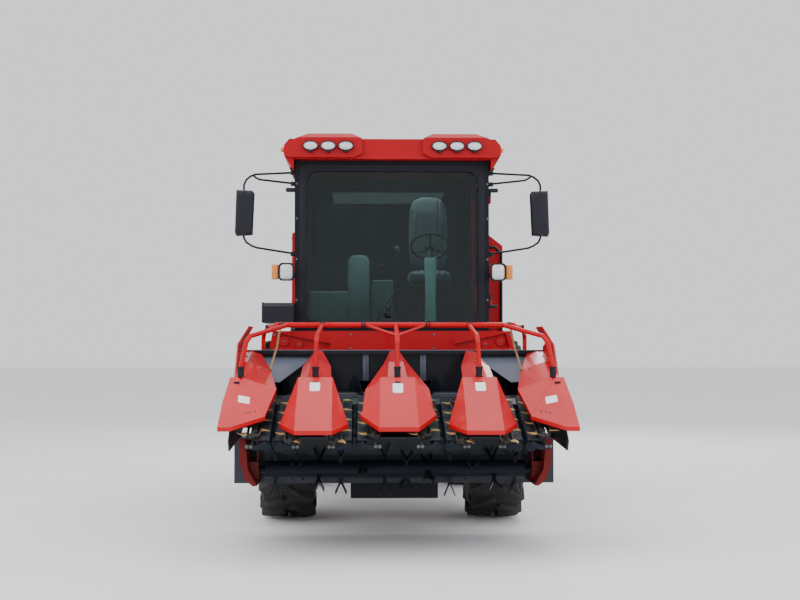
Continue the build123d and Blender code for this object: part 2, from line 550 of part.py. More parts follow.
FEEDER_FOOT_Z = 1060
FEEDER_HALF_W = 350
FEEDER_HALF_T = 180
MOUTH_HALF_W = 330
MOUTH_Z = (895, 1225)
feeder_way = Vector(0, HEADER_PIVOT_Y - BACK_WALL_Y[1], HEADER_PIVOT_Z - FEEDER_FOOT_Z)
feeder_start = Plane(origin=(0, BACK_WALL_Y[1], FEEDER_FOOT_Z), x_dir=(1, 0, 0), z_dir=feeder_way)
with BuildPart() as feeder_house:
    with Locations(feeder_start.offset(-80)):
        Box(2 * FEEDER_HALF_W, 2 * FEEDER_HALF_T, feeder_way.length + 80 + 30, align=(Align.CENTER, Align.CENTER, Align.MIN))
        Box(2 * FEEDER_HALF_W - 20, 2 * FEEDER_HALF_T - 20, feeder_way.length, align=(Align.CENTER, Align.CENTER, Align.MIN),
            mode=Mode.SUBTRACT)
    block((-400, 400), (BACK_WALL_Y[1] - 300, BACK_WALL_Y[1]), (700, 1400), Mode.SUBTRACT)
    rod((-445, HEADER_PIVOT_Y, HEADER_PIVOT_Z), (445, HEADER_PIVOT_Y, HEADER_PIVOT_Z), 30)
    # ears for the lift cylinders
    for lift_x in LIFT_X:
        for ear_x in (lift_x - 40, lift_x + 40):
            side_plate([(LIFT_EYE[0] - 30, 812), (LIFT_EYE[0] - 70, 916), (LIFT_EYE[0] + 90, 944), (LIFT_EYE[0] + 30, 812)],
                       (ear_x - 8, ear_x + 8))
        rod((lift_x - 54, LIFT_EYE[0], LIFT_EYE[1]), (lift_x + 54, LIFT_EYE[0], LIFT_EYE[1]), 14)
keep(feeder_house, "feeder_house")

with BuildPart() as back_wall:
    block((-HEADER_HALF_W, HEADER_HALF_W), BACK_WALL_Y, (880, BACK_WALL_TOP_Z))
    block((-MOUTH_HALF_W, MOUTH_HALF_W), BACK_WALL_Y, MOUTH_Z, Mode.SUBTRACT)
    block((-HEADER_HALF_W, HEADER_HALF_W), (-2130, BACK_WALL_Y[1]), (BACK_WALL_TOP_Z, BACK_WALL_TOP_Z + 35))
    for strut_x in (-230, 230):
        block((strut_x - 22, strut_x + 22), (-2102, BACK_WALL_Y[0]), (MOUTH_Z[1], BACK_WALL_TOP_Z))
keep(back_wall, "back_wall")

with BuildPart() as trough:
    with BuildSketch(Plane.YZ.offset(-HEADER_HALF_W)):
        with Locations((AUGER_Y, AUGER_Z)):
            Circle(209)
            Circle(204, mode=Mode.SUBTRACT)
        with Locations((AUGER_Y, AUGER_Z + 250)):
            Rectangle(500, 500, mode=Mode.SUBTRACT)
        Polygon((-2494, 1085), (-2499, 1085), (-2606, 1118), (-2604, 1124), align=None)
    extrude(amount=2 * HEADER_HALF_W)
    block((-MOUTH_HALF_W, MOUTH_HALF_W), (-2150, -2070), (MOUTH_Z[0] + 60, 1100), Mode.SUBTRACT)
    # folded sheets that lead ears from the ends to the auger
    for side in (-1, 1):
        outer_top, inner_top = (side * 1199, -2081, 1430), (side * 640, -2081, 1420)
        low_fold, low_outer = (side * 900, -2480, 1220), (side * 1199, -2480, 1240)
        sheet([outer_top, inner_top, low_fold], (0, 0, 4))
        sheet([outer_top, low_fold, low_outer], (0, 0, 4))
keep(trough, "trough")

# end plates with their side wings, outline columns: y, z
END_PLATE = [(-2068, 880), (-2068, 1500), (-2250, 1535), (-2700, 1525), (-2950, 1280), (-3045, 1100), (-3450, 830),
             (-3400, 760), (-2500, 800)]
with BuildPart() as end_plates:
    for side in (-1, 1):
        side_plate(END_PLATE, (side * HEADER_HALF_W, side * (HEADER_HALF_W + 10)))
        front_plate([(side * 1203, 1516), (side * 1210, 1528), (side * 1126, 1660), (side * 1119, 1654)], (-2640, -2260))
        rod((side * 1190, AUGER_Y, AUGER_Z), (side * 1220, AUGER_Y, AUGER_Z), 22, Mode.SUBTRACT)
keep(end_plates, "end_plates")

# the flights are folded from flat half discs that lead to the middle from both sides
FLIGHT_PITCH = 300
with BuildPart() as auger:
    with BuildSketch(Plane.YZ.offset(-1150)) as core:
        with Locations((AUGER_Y, AUGER_Z)):
            RegularPolygon(62, 16)
    extrude(core.sketch, amount=2300)
    rod((-1225, AUGER_Y, AUGER_Z), (1225, AUGER_Y, AUGER_Z), 21)
    for side in (-1, 1):
        for fold in range(6):
            middle = Vector(side * (240 + FLIGHT_PITCH / 2 * fold), AUGER_Y, AUGER_Z)
            lean = FLIGHT_PITCH / 2 if fold % 2 else -FLIGHT_PITCH / 2
            facing = -1 if fold % 2 else 1
            arc = [radians(90 + 22.5 * step) for step in range(9)]
            with BuildSketch(Plane(origin=middle, x_dir=(0, -facing, 0), z_dir=(side * 2 * AUGER_R, 0, lean))) as half_disc:
                Polygon(*[(-AUGER_R * cos(turn), AUGER_R * sin(turn)) for turn in arc], align=None)
            extrude(half_disc.sketch, amount=3, both=True)
keep(auger, "auger")

# Noses and the covers behind them: stations as columns y, bottom z, half-width, top half-width, top z.
# Each form keeps one side slope, so that its faces stay flat.
SHEET_T = 6
EVEN_HOOD = [(-3600, 884, 132, 130, 914), (-3350, 916, 245, 128, 1078.6), (-3342, 954, 242, 128, 1083.9),
             (-3050, 1268, 131, 125, 1276)]
MIDDLE_HOOD = [(-3500, 901, 143, 141, 933), (-3300, 980, 275, 133, 1085.4), (-3292, 1018, 270.4, 132.7, 1091.5),
               (-3050, 1271, 131, 124, 1276)]
EVEN_SLOPE = 1.13
MIDDLE_SLOPE = 0.525
EVEN_COVER = [(-3047, 1215, 120, 62, 1268), (-2650, 1330, 108, 46, 1385), (-2130, 1446, 34, 26, 1466)]
MIDDLE_COVER = [(-3290, 985, 262, 133, 1084), (-3030, 1150, 236, 72, 1272), (-2650, 1325, 100, 56, 1385),
                (-2130, 1446, 38, 30, 1466)]
# the outer dividers: stations as columns y, bottom z, inward reach, ridge, top z
OUTER_HOOD = [(-3500, 903, 4, 0, 933), (-3300, 972, 246, 2, 1085.4), (-3292, 1009, 239.3, 2.9, 1091.5),
              (-3050, 1271, 36, 30, 1276)]
OUTER_COVER = [(-3290, 985, 236, 4, 1084), (-3030, 1150, 305, 58, 1272), (-2650, 1300, 238, 60, 1385),
               (-2130, 1420, 135, 60, 1466)]
OUTER_SLOPE = 0.343


def nose(x, stations, slope):
    """A folded sheet whose sides fall away evenly from a flat top, open below."""
    sections, inside = [], []
    for station_y, z_bottom, side_w, top_w, z_top in stations:
        z_side = z_top - slope * (side_w - top_w)
        with BuildSketch(Plane.XZ.offset(-station_y)) as section:
            with Locations((x, 0)):
                Polygon((-side_w, z_bottom), (side_w, z_bottom), (side_w, z_side), (top_w, z_top),
                        (-top_w, z_top), (-side_w, z_side), align=None)
        sections.append(section.sketch)
    loft(sections, ruled=True)
    front = stations[0][0]
    for station_y, z_bottom, side_w, top_w, z_top in stations:
        z_side = z_top - slope * (side_w - top_w)
        wall = SHEET_T / 2
        inset_y = station_y + wall if station_y == front else station_y
        with BuildSketch(Plane.XZ.offset(-inset_y)) as section:
            with Locations((x, 0)):
                Polygon((-side_w + wall, z_bottom - 200), (side_w - wall, z_bottom - 200),
                        (side_w - wall, z_side - SHEET_T), (top_w, z_top - SHEET_T),
                        (-top_w, z_top - SHEET_T), (-side_w + wall, z_side - SHEET_T), align=None)
        inside.append(section.sketch)
    loft(inside, ruled=True, mode=Mode.SUBTRACT)


def outer_nose(x, stations, slope, walls):
    """Half a nose: its outside is an upright wall and its inner side slopes to the row."""
    inward = -1 if x > 0 else 1
    outside, inside = [], []
    for (station_y, z_bottom, reach, ridge, z_top), wall_x in zip(stations, walls):
        z_side = z_top - slope * (reach - ridge)
        with BuildSketch(Plane.XZ.offset(-station_y)) as section:
            with Locations((x, 0)):
                Polygon((-inward * wall_x, z_bottom), (inward * reach, z_bottom), (inward * reach, z_side),
                        (inward * ridge, z_top), (-inward * wall_x, z_top), align=None)
        outside.append(section.sketch)
        inset_y = station_y + SHEET_T / 2 if station_y == stations[0][0] else station_y
        with BuildSketch(Plane.XZ.offset(-inset_y)) as section:
            with Locations((x, 0)):
                Polygon((-inward * (wall_x - 3), z_bottom - 200), (inward * (reach - 3), z_bottom - 200),
                        (inward * (reach - 3), z_side - SHEET_T), (inward * ridge, z_top - SHEET_T),
                        (-inward * (wall_x - 3), z_top - SHEET_T), align=None)
        inside.append(section.sketch)
    loft(outside, ruled=True)
    loft(inside, ruled=True, mode=Mode.SUBTRACT)


with BuildPart() as divider_hoods:
    nose(0, MIDDLE_HOOD, MIDDLE_SLOPE)
    for side in (-1, 1):
        nose(side * DIVIDER_X, EVEN_HOOD, EVEN_SLOPE)
        outer_nose(side * HEADER_HALF_W, OUTER_HOOD, OUTER_SLOPE, (80, 66, 66, 30))
keep(divider_hoods, "divider_hoods")

with BuildPart() as divider_covers:
    nose(0, MIDDLE_COVER, MIDDLE_SLOPE)
    for side in (-1, 1):
        nose(side * DIVIDER_X, EVEN_COVER, EVEN_SLOPE / 2)
        outer_nose(side * (HEADER_HALF_W - 4), OUTER_COVER, OUTER_SLOPE, (3.5, 3.5, 3.5, 3.5))
keep(divider_covers, "divider_covers")

# toolbar with the plates and gearbox under each row
DECK_PLATE_T = 8
ROW_PLATE_X = 136
with BuildPart() as header_frame:
    block((-HEADER_HALF_W, HEADER_HALF_W), (-2620, -2520), (880, 980))
    for row_x in ROW_X:
        for side in (-1, 1):
            plate_x = row_x + side * ROW_PLATE_X
            side_plate([(-2520, 960), (-2520, 1085), (-2640, deck_z(-2640)), (-3440, deck_z(-3440)), (-3440, 800),
                        (-3300, 765), (-2800, 930)], (plate_x - 6, plate_x + 6))
        with Locations(deck_plane(row_x)):
            with Locations((0, DECK_LENGTH - 70, -60)):
                Box(2 * ROW_PLATE_X, 148, 112)
keep(header_frame, "header_frame")

# bars between neighbouring rows, with posts that reach up to the sheet metal they carry
HOOD_POST_X = (-1178, -DIVIDER_X, 0, DIVIDER_X, 1178)
# columns: y, bar's middle z, post's top z
HOOD_POSTS = ((-3090, 930, 1244.7), (-2660, 1090, 1378))
with BuildPart() as hood_posts:
    faces = [-HEADER_HALF_W] + [row_x + side * (ROW_PLATE_X + 6) for row_x in ROW_X for side in (-1, 1)] + [HEADER_HALF_W]
    for low, high, post_x in zip(faces[0::2], faces[1::2], HOOD_POST_X):
        for bar_y, bar_z, post_z in HOOD_POSTS:
            block((low, high), (bar_y - 20, bar_y + 20), (bar_z - 20, bar_z + 20))
            block((post_x - 20, post_x + 20), (bar_y - 20, bar_y + 20), (bar_z, post_z))
    add(divider_hoods.part, mode=Mode.SUBTRACT)
    add(divider_covers.part, mode=Mode.SUBTRACT)
keep(hood_posts, "hood_posts")

# deck plates, each with the curved horn that guards the front of its roll
HORN = [(44, 826), (70, 800), (115, 786), (190, 798)]
with BuildPart() as deck_plates:
    for row_x in ROW_X:
        with Locations(deck_plane(row_x)):
            for side in (-1, 1):
                with Locations((side * 81, DECK_LENGTH / 2, DECK_PLATE_T / 2)):
                    Box(122, DECK_LENGTH, DECK_PLATE_T)
        for side in (-1, 1):
            with BuildSketch(Plane.XZ.offset(3450)) as horn:
                with BuildLine():
                    Polyline(*[(row_x + side * x, z) for x, z in HORN])
                trace(line_width=34)
            extrude(horn.sketch, amount=36)
keep(deck_plates, "deck_plates")

with BuildPart() as snapping_rolls:
    for row_x in ROW_X:
        with Locations(deck_plane(row_x)):
            for side in (-1, 1):
                with Locations(Location((side * 48, 45, -62), (-90, 0, 0))):
                    Cylinder(38, DECK_LENGTH - 190, align=(Align.CENTER, Align.CENTER, Align.MIN))
keep(snapping_rolls, "snapping_rolls")

# gathering chains: two loops to a row, their fingers reaching over the slot
CHAIN_X = 135
CHAIN_R = 55
CHAIN_BAND = 24
FINGER_R = 120
CHAIN_T = 24
CHAIN_REAR = 745
# the chains beside the long noses reach furthest forward, to the machine's front end
CHAIN_FRONT = (HALF_LENGTH + DECK_FRONT_Y - (DECK_PLATE_T + CHAIN_T) * sin(radians(DECK_SLOPE))) / cos(radians(DECK_SLOPE))
FRONT_FINGERS = (-60, 0, 60)
RUN_FINGERS = (80, 300, 520)
with BuildPart() as gather_chains:
    for row_x in ROW_X:
        for side in (-1, 1):
            beside_long = abs(abs(row_x + side * CHAIN_X) - DIVIDER_X) < 200
            front = (FINGER_R - CHAIN_FRONT) if beside_long else (FINGER_R - CHAIN_FRONT + 100)
            middle, run = (CHAIN_REAR + front) / 2, CHAIN_REAR - front
            with BuildSketch(deck_plane(row_x).offset(DECK_PLATE_T)) as chain:
                with Locations((side * CHAIN_X, middle)):
                    Rectangle(2 * CHAIN_R, run)
                with Locations((side * CHAIN_X, front), (side * CHAIN_X, CHAIN_REAR)):
                    RegularPolygon(CHAIN_R, 12)
                # fingers around the front sprocket, then along both runs
                for turn in FRONT_FINGERS:
                    with Locations(Location((side * CHAIN_X, front), turn)):
                        Polygon((-16, -CHAIN_R + 12), (16, -CHAIN_R + 12), (8, -FINGER_R), (-2, -FINGER_R), align=None)
                for finger_y in RUN_FINGERS:
                    for turn in (-90, 90):
                        with Locations(Location((side * CHAIN_X, finger_y), turn)):
                            Polygon((-14, -CHAIN_R + 12), (14, -CHAIN_R + 12), (0, -FINGER_R), align=None)
                with Locations((side * CHAIN_X, middle)):
                    Rectangle(2 * (CHAIN_R - CHAIN_BAND), run, mode=Mode.SUBTRACT)
                with Locations((side * CHAIN_X, front), (side * CHAIN_X, CHAIN_REAR)):
                    RegularPolygon(CHAIN_R - CHAIN_BAND, 8, mode=Mode.SUBTRACT)
            extrude(chain.sketch, amount=CHAIN_T)
keep(gather_chains, "gather_chains")

# crop guide frame: cross tube, stems with rubber sleeves, braces and rear arms
GUIDE_Y = -2500
GUIDE_Z = 1668
GUIDE_FOOT_Y = -3015
SLEEVE_Z = (1274, 1345)
STEM_R = 18
with BuildPart() as guide_frame:
    tube([(-930, GUIDE_Y, GUIDE_Z), (930, GUIDE_Y, GUIDE_Z)], 21, 0)
    # stems as columns: foot x, bend x, head x
    for foot_x, bend_x, head_x in ((0, 0, 0), (DIVIDER_X, 598, 570), (1155, 1110, 835)):
        for side in ((-1, 1) if foot_x else (1,)):
            tube([(side * foot_x, GUIDE_FOOT_Y, SLEEVE_Z[1]), (side * bend_x, GUIDE_FOOT_Y + 30, 1572),
                  (side * head_x, GUIDE_Y, GUIDE_Z)], STEM_R, 40)
    for side in (-1, 1):
        tube([(side * 900, GUIDE_Y, GUIDE_Z), (side * 1000, -2300, 1652), (side * 1050, -2100, 1600),
              (side * 1050, -2100, BACK_WALL_TOP_Z + 35)], STEM_R, 30)
        tube([(0, GUIDE_FOOT_Y + 60, 1582), (side * 230, GUIDE_Y, GUIDE_Z)], 11, 0, 8)
keep(guide_frame, "guide_frame")
with BuildPart() as guide_sleeves:
    for foot_x in (-1155, -DIVIDER_X, 0, DIVIDER_X, 1155):
        rod((foot_x, GUIDE_FOOT_Y, SLEEVE_Z[0]), (foot_x, GUIDE_FOOT_Y, SLEEVE_Z[1]), 23)
    add(divider_covers.part, mode=Mode.SUBTRACT)
    add(guide_frame.part, mode=Mode.SUBTRACT)
keep(guide_sleeves, "guide_sleeves")

# Stalk chopper below the rows
with BuildPart() as chopper_housing:
    block((-1280, 1280), (-2110, -2090), (410, 800))
    block((-HEADER_HALF_W, HEADER_HALF_W), (-2700, -2090), (800, 812))
    for row_x in ROW_X:
        block((row_x - 40, row_x + 40), (-2600, -2540), (812, 880))
keep(chopper_housing, "chopper_housing")

with BuildPart() as chopper_ends:
    for side in (-1, 1):
        front_plate([(side * 1190, 600), (side * 1150, 480), (side * 1090, 434), (side * 1060, 440), (side * 1130, 560),
                     (side * 1150, 800), (side * HEADER_HALF_W, 800)], (-2640, -2110))
        block((side * 1060, side * 1150), (-2480, -2320), (480, 610))
        rod((side * 1010, CHOPPER_Y, CHOPPER_Z), (side * 1110, CHOPPER_Y, CHOPPER_Z), 27, Mode.SUBTRACT)
        # bearing arm under the housing
        block((side * 1062, side * 1074), (-2460, -2340), (600, 800))
keep(chopper_ends, "chopper_ends")

KNIFE_SETS = 12
with BuildPart() as chopper_rotor:
    with BuildSketch(Plane.YZ.offset(-1010)) as core:
        with Locations((CHOPPER_Y, CHOPPER_Z)):
            RegularPolygon(68, 16)
    extrude(core.sketch, amount=2020)
    rod((-1070, CHOPPER_Y, CHOPPER_Z), (1070, CHOPPER_Y, CHOPPER_Z), 26)
    for knife in range(KNIFE_SETS):
        knife_x = -935 + 170 * knife
        with Locations(Location((knife_x, CHOPPER_Y, CHOPPER_Z), (67.5 * knife, 0, 0))):
            for half in (-1, 1):
                with Locations((0, 0, half * 85)):
                    Box(26, 40, 70)
                # two blades spread from each knife's foot
                for lean in (-1, 1):
                    with Locations(Location((lean * 24, 0, half * 160), (0, lean * half * 22, 0))):
                        Box(8, 46, 100)
keep(chopper_rotor, "chopper_rotor")

with BuildPart() as rear_flap:
    block((-350, 350), (-2090, -2080), (286, 798))
keep(rear_flap, "rear_flap")


# Cylinders
def cylinder_pair(name, places, base, eye, across, barrel_r, barrel_length, rod_r, bore_start, rod_start, fork):
    """Barrels with a base eye and rods with an end eye or a fork, one set at each place; the bore leaves
    room for the rod to run in."""
    way = (eye - base).normalized()
    reach = (eye - base).length
    with BuildPart() as barrels:
        for place in places:
            start = base + place
            rod(start + way * 60, start + way * barrel_length, barrel_r)
            rod(start, start + way * 61, 24)
            rod(start - across * 26, start + across * 26, 30)
            rod(start + way * bore_start, start + way * (barrel_length + 1), rod_r + 1, Mode.SUBTRACT)
            rod(start - across * 50, start + across * 50, PIN_R + 1, Mode.SUBTRACT)
    keep(barrels, f"{name}_barrels")
    with BuildPart() as rods:
        for place in places:
            start = base + place
            tip = start + way * reach
            rod(start + way * rod_start, tip - way * (58 if fork else 24), rod_r)
            if fork:
                rod(tip - across * 22, tip + across * 22, 22)
                rod(tip - across * 11.5, tip + across * 11.5, 36, Mode.SUBTRACT)
                rod(tip - way * 85, tip - way * 55, 24)
                for cheek in (-1, 1):
                    with Locations(Plane(origin=tip - way * 30 + across * cheek * 16.75, x_dir=across, z_dir=way)):
                        Box(10.5, 40, 60)
            else:
                rod(tip - across * 26, tip + across * 26, 34)
                rod(tip - across * 30, tip + across * 30, 20, Mode.SUBTRACT)
    keep(rods, f"{name}_rods")


cylinder_pair("lift_cylinder", [Vector(lift_x, 0, 0) for lift_x in LIFT_X], Vector(0, *LIFT_BASE), Vector(0, *LIFT_EYE),
              Vector(1, 0, 0), 45, 540, 25, 75, 200, False)
cylinder_pair("tank_cylinder", [Vector(0, tip_y, 0) for tip_y in TIP_Y], Vector(TIP_BASE[0], 0, TIP_BASE[1]),
              Vector(TIP_EYE[0], 0, TIP_EYE[1]), Vector(0, 1, 0), 48, 740, 24, 66, 74, True)
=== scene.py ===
"""Corn harvester: finishes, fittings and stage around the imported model, laid out as an add-on.

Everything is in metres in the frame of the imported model: Z is up, the machine faces -Y and X is its driver's left.
"""
import json
from math import atan2, cos, pi, radians, sin

import bmesh
import bpy
from mathutils import Euler, Matrix, Vector


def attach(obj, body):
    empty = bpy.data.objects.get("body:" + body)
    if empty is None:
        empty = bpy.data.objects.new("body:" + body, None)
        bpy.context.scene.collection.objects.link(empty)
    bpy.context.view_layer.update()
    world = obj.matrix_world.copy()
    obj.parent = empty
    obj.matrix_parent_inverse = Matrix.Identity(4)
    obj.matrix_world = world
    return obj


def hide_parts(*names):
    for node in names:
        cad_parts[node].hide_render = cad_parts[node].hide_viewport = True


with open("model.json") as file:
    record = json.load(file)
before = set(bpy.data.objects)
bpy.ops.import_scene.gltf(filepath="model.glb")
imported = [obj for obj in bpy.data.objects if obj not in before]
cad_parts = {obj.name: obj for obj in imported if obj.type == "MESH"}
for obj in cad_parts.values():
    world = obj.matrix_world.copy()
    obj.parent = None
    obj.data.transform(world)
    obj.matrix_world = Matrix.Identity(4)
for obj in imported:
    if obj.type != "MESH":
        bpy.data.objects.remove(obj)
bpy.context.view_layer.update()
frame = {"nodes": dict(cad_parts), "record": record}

bl_info = {
    "name": "Corn harvester",
    "version": (1, 0, 0),
    "blender": (4, 5, 0),
    "location": "3D View > Sidebar > Harvester",
    "description": "Builds the finishes, fittings and stage of a corn harvester",
    "category": "Object",
}

ROWS_X = (-0.895, -0.315, 0.315, 0.895)
DIVIDER_X = 0.605
DECK_TILT = radians(18)
DECK_FRONT = Vector((0, -3.48, 0.835))
AUGER_AT = Vector((0, -2.29, 1.085))
FRONT_WHEELS = {"left": (0.9, 1), "right": (-0.9, -1)}
REAR_WHEELS = {"left": (0.83, 1), "right": (-0.83, -1)}
FRONT_AXLE = (-0.85, 0.78)
REAR_AXLE = (2.1, 0.485)
HUB_REACH = 0.075
ACROSS, ALONG, UPWARD = (1, 0, 0), (0, 1, 0), (0, 0, 1)


# Node helpers
class Graph:
    """A material's node tree with short calls to add and join nodes."""

    def __init__(self, name):
        self.material = bpy.data.materials.new(name)
        self.material.use_nodes = True
        self.tree = self.material.node_tree
        self.tree.nodes.clear()
        self.out = self.add("ShaderNodeOutputMaterial")
        self.coords = self.add("ShaderNodeTexCoord")

    def add(self, kind, sockets=None, **settings):
        """A new node with its settings, and numbers on the sockets that are named."""
        node = self.tree.nodes.new(kind)
        for key, value in settings.items():
            setattr(node, key, value)
        for key, value in (sockets or {}).items():
            node.inputs[key].default_value = value
        return node

    def join(self, source, target):
        self.tree.links.new(source, target)

    def noise(self, scale, detail=4.0, roughness=0.55, stretch=None):
        node = self.add("ShaderNodeTexNoise", {"Scale": scale, "Detail": detail, "Roughness": roughness})
        source = self.coords.outputs["Object"]
        if stretch:
            mapping = self.add("ShaderNodeMapping", {"Scale": stretch})
            self.join(source, mapping.inputs["Vector"])
            source = mapping.outputs["Vector"]
        self.join(source, node.inputs["Vector"])
        return node.outputs["Fac"]

    def ramp(self, source, low, high, values=(0.0, 1.0)):
        node = self.add("ShaderNodeMapRange",
                        {"From Min": low, "From Max": high, "To Min": values[0], "To Max": values[1]}, clamp=True)
        self.join(source, node.inputs["Value"])
        return node.outputs["Result"]

    def math(self, operation, first, second):
        node = self.add("ShaderNodeMath", operation=operation)
        for value, socket in ((first, node.inputs[0]), (second, node.inputs[1])):
            if isinstance(value, (int, float)):
                socket.default_value = value
            else:
                self.join(value, socket)
        return node.outputs[0]

    def mix(self, factor, first, second):
        node = self.add("ShaderNodeMix", data_type="RGBA")
        for value, socket in ((factor, node.inputs["Factor"]), (first, node.inputs[6]), (second, node.inputs[7])):
            if isinstance(value, tuple):
                socket.default_value = (*value, 1.0)
            elif isinstance(value, (int, float)):
                socket.default_value = value
            else:
                self.join(value, socket)
        return node.outputs[2]

    def bump(self, height, strength, distance=0.001, normal=None):
        node = self.add("ShaderNodeBump", {"Strength": strength, "Distance": distance})
        self.join(height, node.inputs["Height"])
        if normal:
            self.join(normal, node.inputs["Normal"])
        return node.outputs["Normal"]

    def rounded(self, radius):
        node = self.add("ShaderNodeBevel", {"Radius": radius}, samples=4)
        return node.outputs["Normal"]

    def height(self):
        node = self.add("ShaderNodeSeparateXYZ")
        self.join(self.coords.outputs["Object"], node.inputs[0])
        return node.outputs["Z"]

    def surface(self, shader):
        self.join(shader.outputs[0], self.out.inputs["Surface"])
        return self.material


DUST = (0.34, 0.28, 0.21)


def painted(name, colour, gloss=0.28, coat=0.5, dust=0.25, speckle=0.06, edge=0.004):
    """Sprayed enamel: slow colour drift, orange peel, dust that gathers low down, softened edges."""
    g = Graph(name)
    shader = g.add("ShaderNodeBsdfPrincipled",
                   {"Coat Weight": coat, "Coat Roughness": 0.08, "Specular IOR Level": 0.16})
    slow = g.ramp(g.noise(1.7, 3.0), 0.35, 0.7)
    deep = tuple(channel * 0.86 for channel in colour)
    tone = g.mix(slow, colour, deep)
    grains = g.ramp(g.noise(38.0, 6.0, 0.7), 0.60, 0.78, (0.0, speckle))
    low = g.ramp(g.height(), 1.5, 0.3, (0.0, dust))
    cover = g.math("ADD", grains, g.math("MULTIPLY", low, g.ramp(g.noise(6.0, 7.0), 0.35, 0.7)))
    g.join(g.mix(cover, tone, DUST), shader.inputs["Base Color"])
    g.join(g.ramp(cover, 0.0, 0.5, (gloss, 0.75)), shader.inputs["Roughness"])
    g.join(g.bump(g.noise(220.0, 2.0), 0.05, 0.0005, g.rounded(edge)), shader.inputs["Normal"])
    return g.surface(shader)


def two_tone(name, upper, lower, height):
    """Enamel in two colours that meet at a height."""
    g = Graph(name)
    shader = g.add("ShaderNodeBsdfPrincipled", {"Roughness": 0.34, "Coat Weight": 0.2})
    side = g.ramp(g.height(), height - 0.004, height + 0.004)
    slow = g.ramp(g.noise(1.7, 3.0), 0.35, 0.7, (0.0, 0.3))
    tone = g.mix(side, lower, upper)
    g.join(g.mix(slow, tone, tuple(channel * 0.6 for channel in lower)), shader.inputs["Base Color"])
    g.join(g.bump(g.noise(220.0, 2.0), 0.05, 0.0005, g.rounded(0.004)), shader.inputs["Normal"])
    return g.surface(shader)


def bare_metal(name, colour, gloss=0.35, stretch=(1, 1, 12), rust=0.25, edge=0.002):
    """Worked metal: brushed streaks with brown staining."""
    g = Graph(name)
    shader = g.add("ShaderNodeBsdfPrincipled")
    streak = g.noise(30.0, 5.0, 0.6, stretch)
    tone = g.mix(g.ramp(streak, 0.3, 0.7), tuple(c * 0.7 for c in colour), colour)
    stain = g.ramp(g.noise(11.0, 8.0, 0.7), 0.52, 0.72, (0.0, rust))
    g.join(g.mix(stain, tone, (0.16, 0.09, 0.05)), shader.inputs["Base Color"])
    g.join(g.ramp(stain, 0.0, 1.0, (1.0, 0.2)), shader.inputs["Metallic"])
    g.join(g.ramp(streak, 0.2, 0.8, (gloss - 0.08, gloss + 0.15)), shader.inputs["Roughness"])
    g.join(g.bump(streak, 0.08, 0.0006, g.rounded(edge)), shader.inputs["Normal"])
    return g.surface(shader)


def moulded(name, colour, roughness=0.5, grain=260.0, depth=0.12, dust=0.1):
    """Moulded plastic or rubber: fine grain and a film of dust."""
    g = Graph(name)
    shader = g.add("ShaderNodeBsdfPrincipled", {"Specular IOR Level": 0.3})
    film = g.ramp(g.noise(5.0, 7.0, 0.65), 0.4, 0.75, (0.0, dust))
    g.join(g.mix(film, colour, DUST), shader.inputs["Base Color"])
    g.join(g.ramp(film, 0.0, 0.3, (roughness, 0.85)), shader.inputs["Roughness"])
    g.join(g.bump(g.noise(grain, 3.0), depth, 0.0006, g.rounded(0.003)), shader.inputs["Normal"])
    return g.surface(shader)


def tyre_rubber(name):
    """Black rubber with patches of earth."""
    g = Graph(name)
    shader = g.add("ShaderNodeBsdfPrincipled", {"Roughness": 0.82})
    earth = g.ramp(g.noise(9.0, 9.0, 0.7), 0.42, 0.72, (0.0, 0.25))
    g.join(g.mix(earth, (0.016, 0.016, 0.018), (0.12, 0.10, 0.08)), shader.inputs["Base Color"])
    g.join(g.bump(g.noise(140.0, 5.0), 0.3, 0.001), shader.inputs["Normal"])
    return g.surface(shader)


def glazing(name, tint, reflect=1.38):
    """Thin tinted glass: light passes straight through, the sky lies on it by angle. Panes at the rear are darker, as
    painted shade for the dark seen through them.
    """
    g = Graph(name)
    clear = g.add("ShaderNodeBsdfTransparent")
    film = g.ramp(g.noise(2.2, 4.0), 0.35, 0.7)
    front = g.mix(film, tint, tuple(c * 0.88 for c in tint))
    depth = g.add("ShaderNodeSeparateXYZ")
    g.join(g.coords.outputs["Object"], depth.inputs[0])
    # painted shade: panes behind the driver take a near-black tint in place of the dark seen through them
    rear = g.ramp(depth.outputs["Y"], 0.05, 0.07)
    g.join(g.mix(rear, front, (0.035, 0.055, 0.055)), clear.inputs["Color"])
    shine = g.add("ShaderNodeBsdfGlossy", {"Roughness": 0.03})
    angle = g.add("ShaderNodeFresnel", {"IOR": reflect})
    join = g.add("ShaderNodeMixShader")
    g.join(angle.outputs[0], join.inputs[0])
    g.join(clear.outputs[0], join.inputs[1])
    g.join(shine.outputs[0], join.inputs[2])
    return g.surface(join)


def lens(name, colour, cells=70.0):
    """A pressed lens over a bright reflector."""
    g = Graph(name)
    shader = g.add("ShaderNodeBsdfPrincipled", {"Roughness": 0.12, "Coat Weight": 1.0, "Coat Roughness": 0.02})
    pattern = g.add("ShaderNodeTexVoronoi", {"Scale": cells})
    g.join(g.coords.outputs["Object"], pattern.inputs["Vector"])
    tone = g.mix(g.ramp(pattern.outputs["Distance"], 0.1, 0.6), colour, tuple(c * 0.72 for c in colour))
    g.join(tone, shader.inputs["Base Color"])
    g.join(g.bump(pattern.outputs["Distance"], 0.4, 0.003), shader.inputs["Normal"])
    return g.surface(shader)


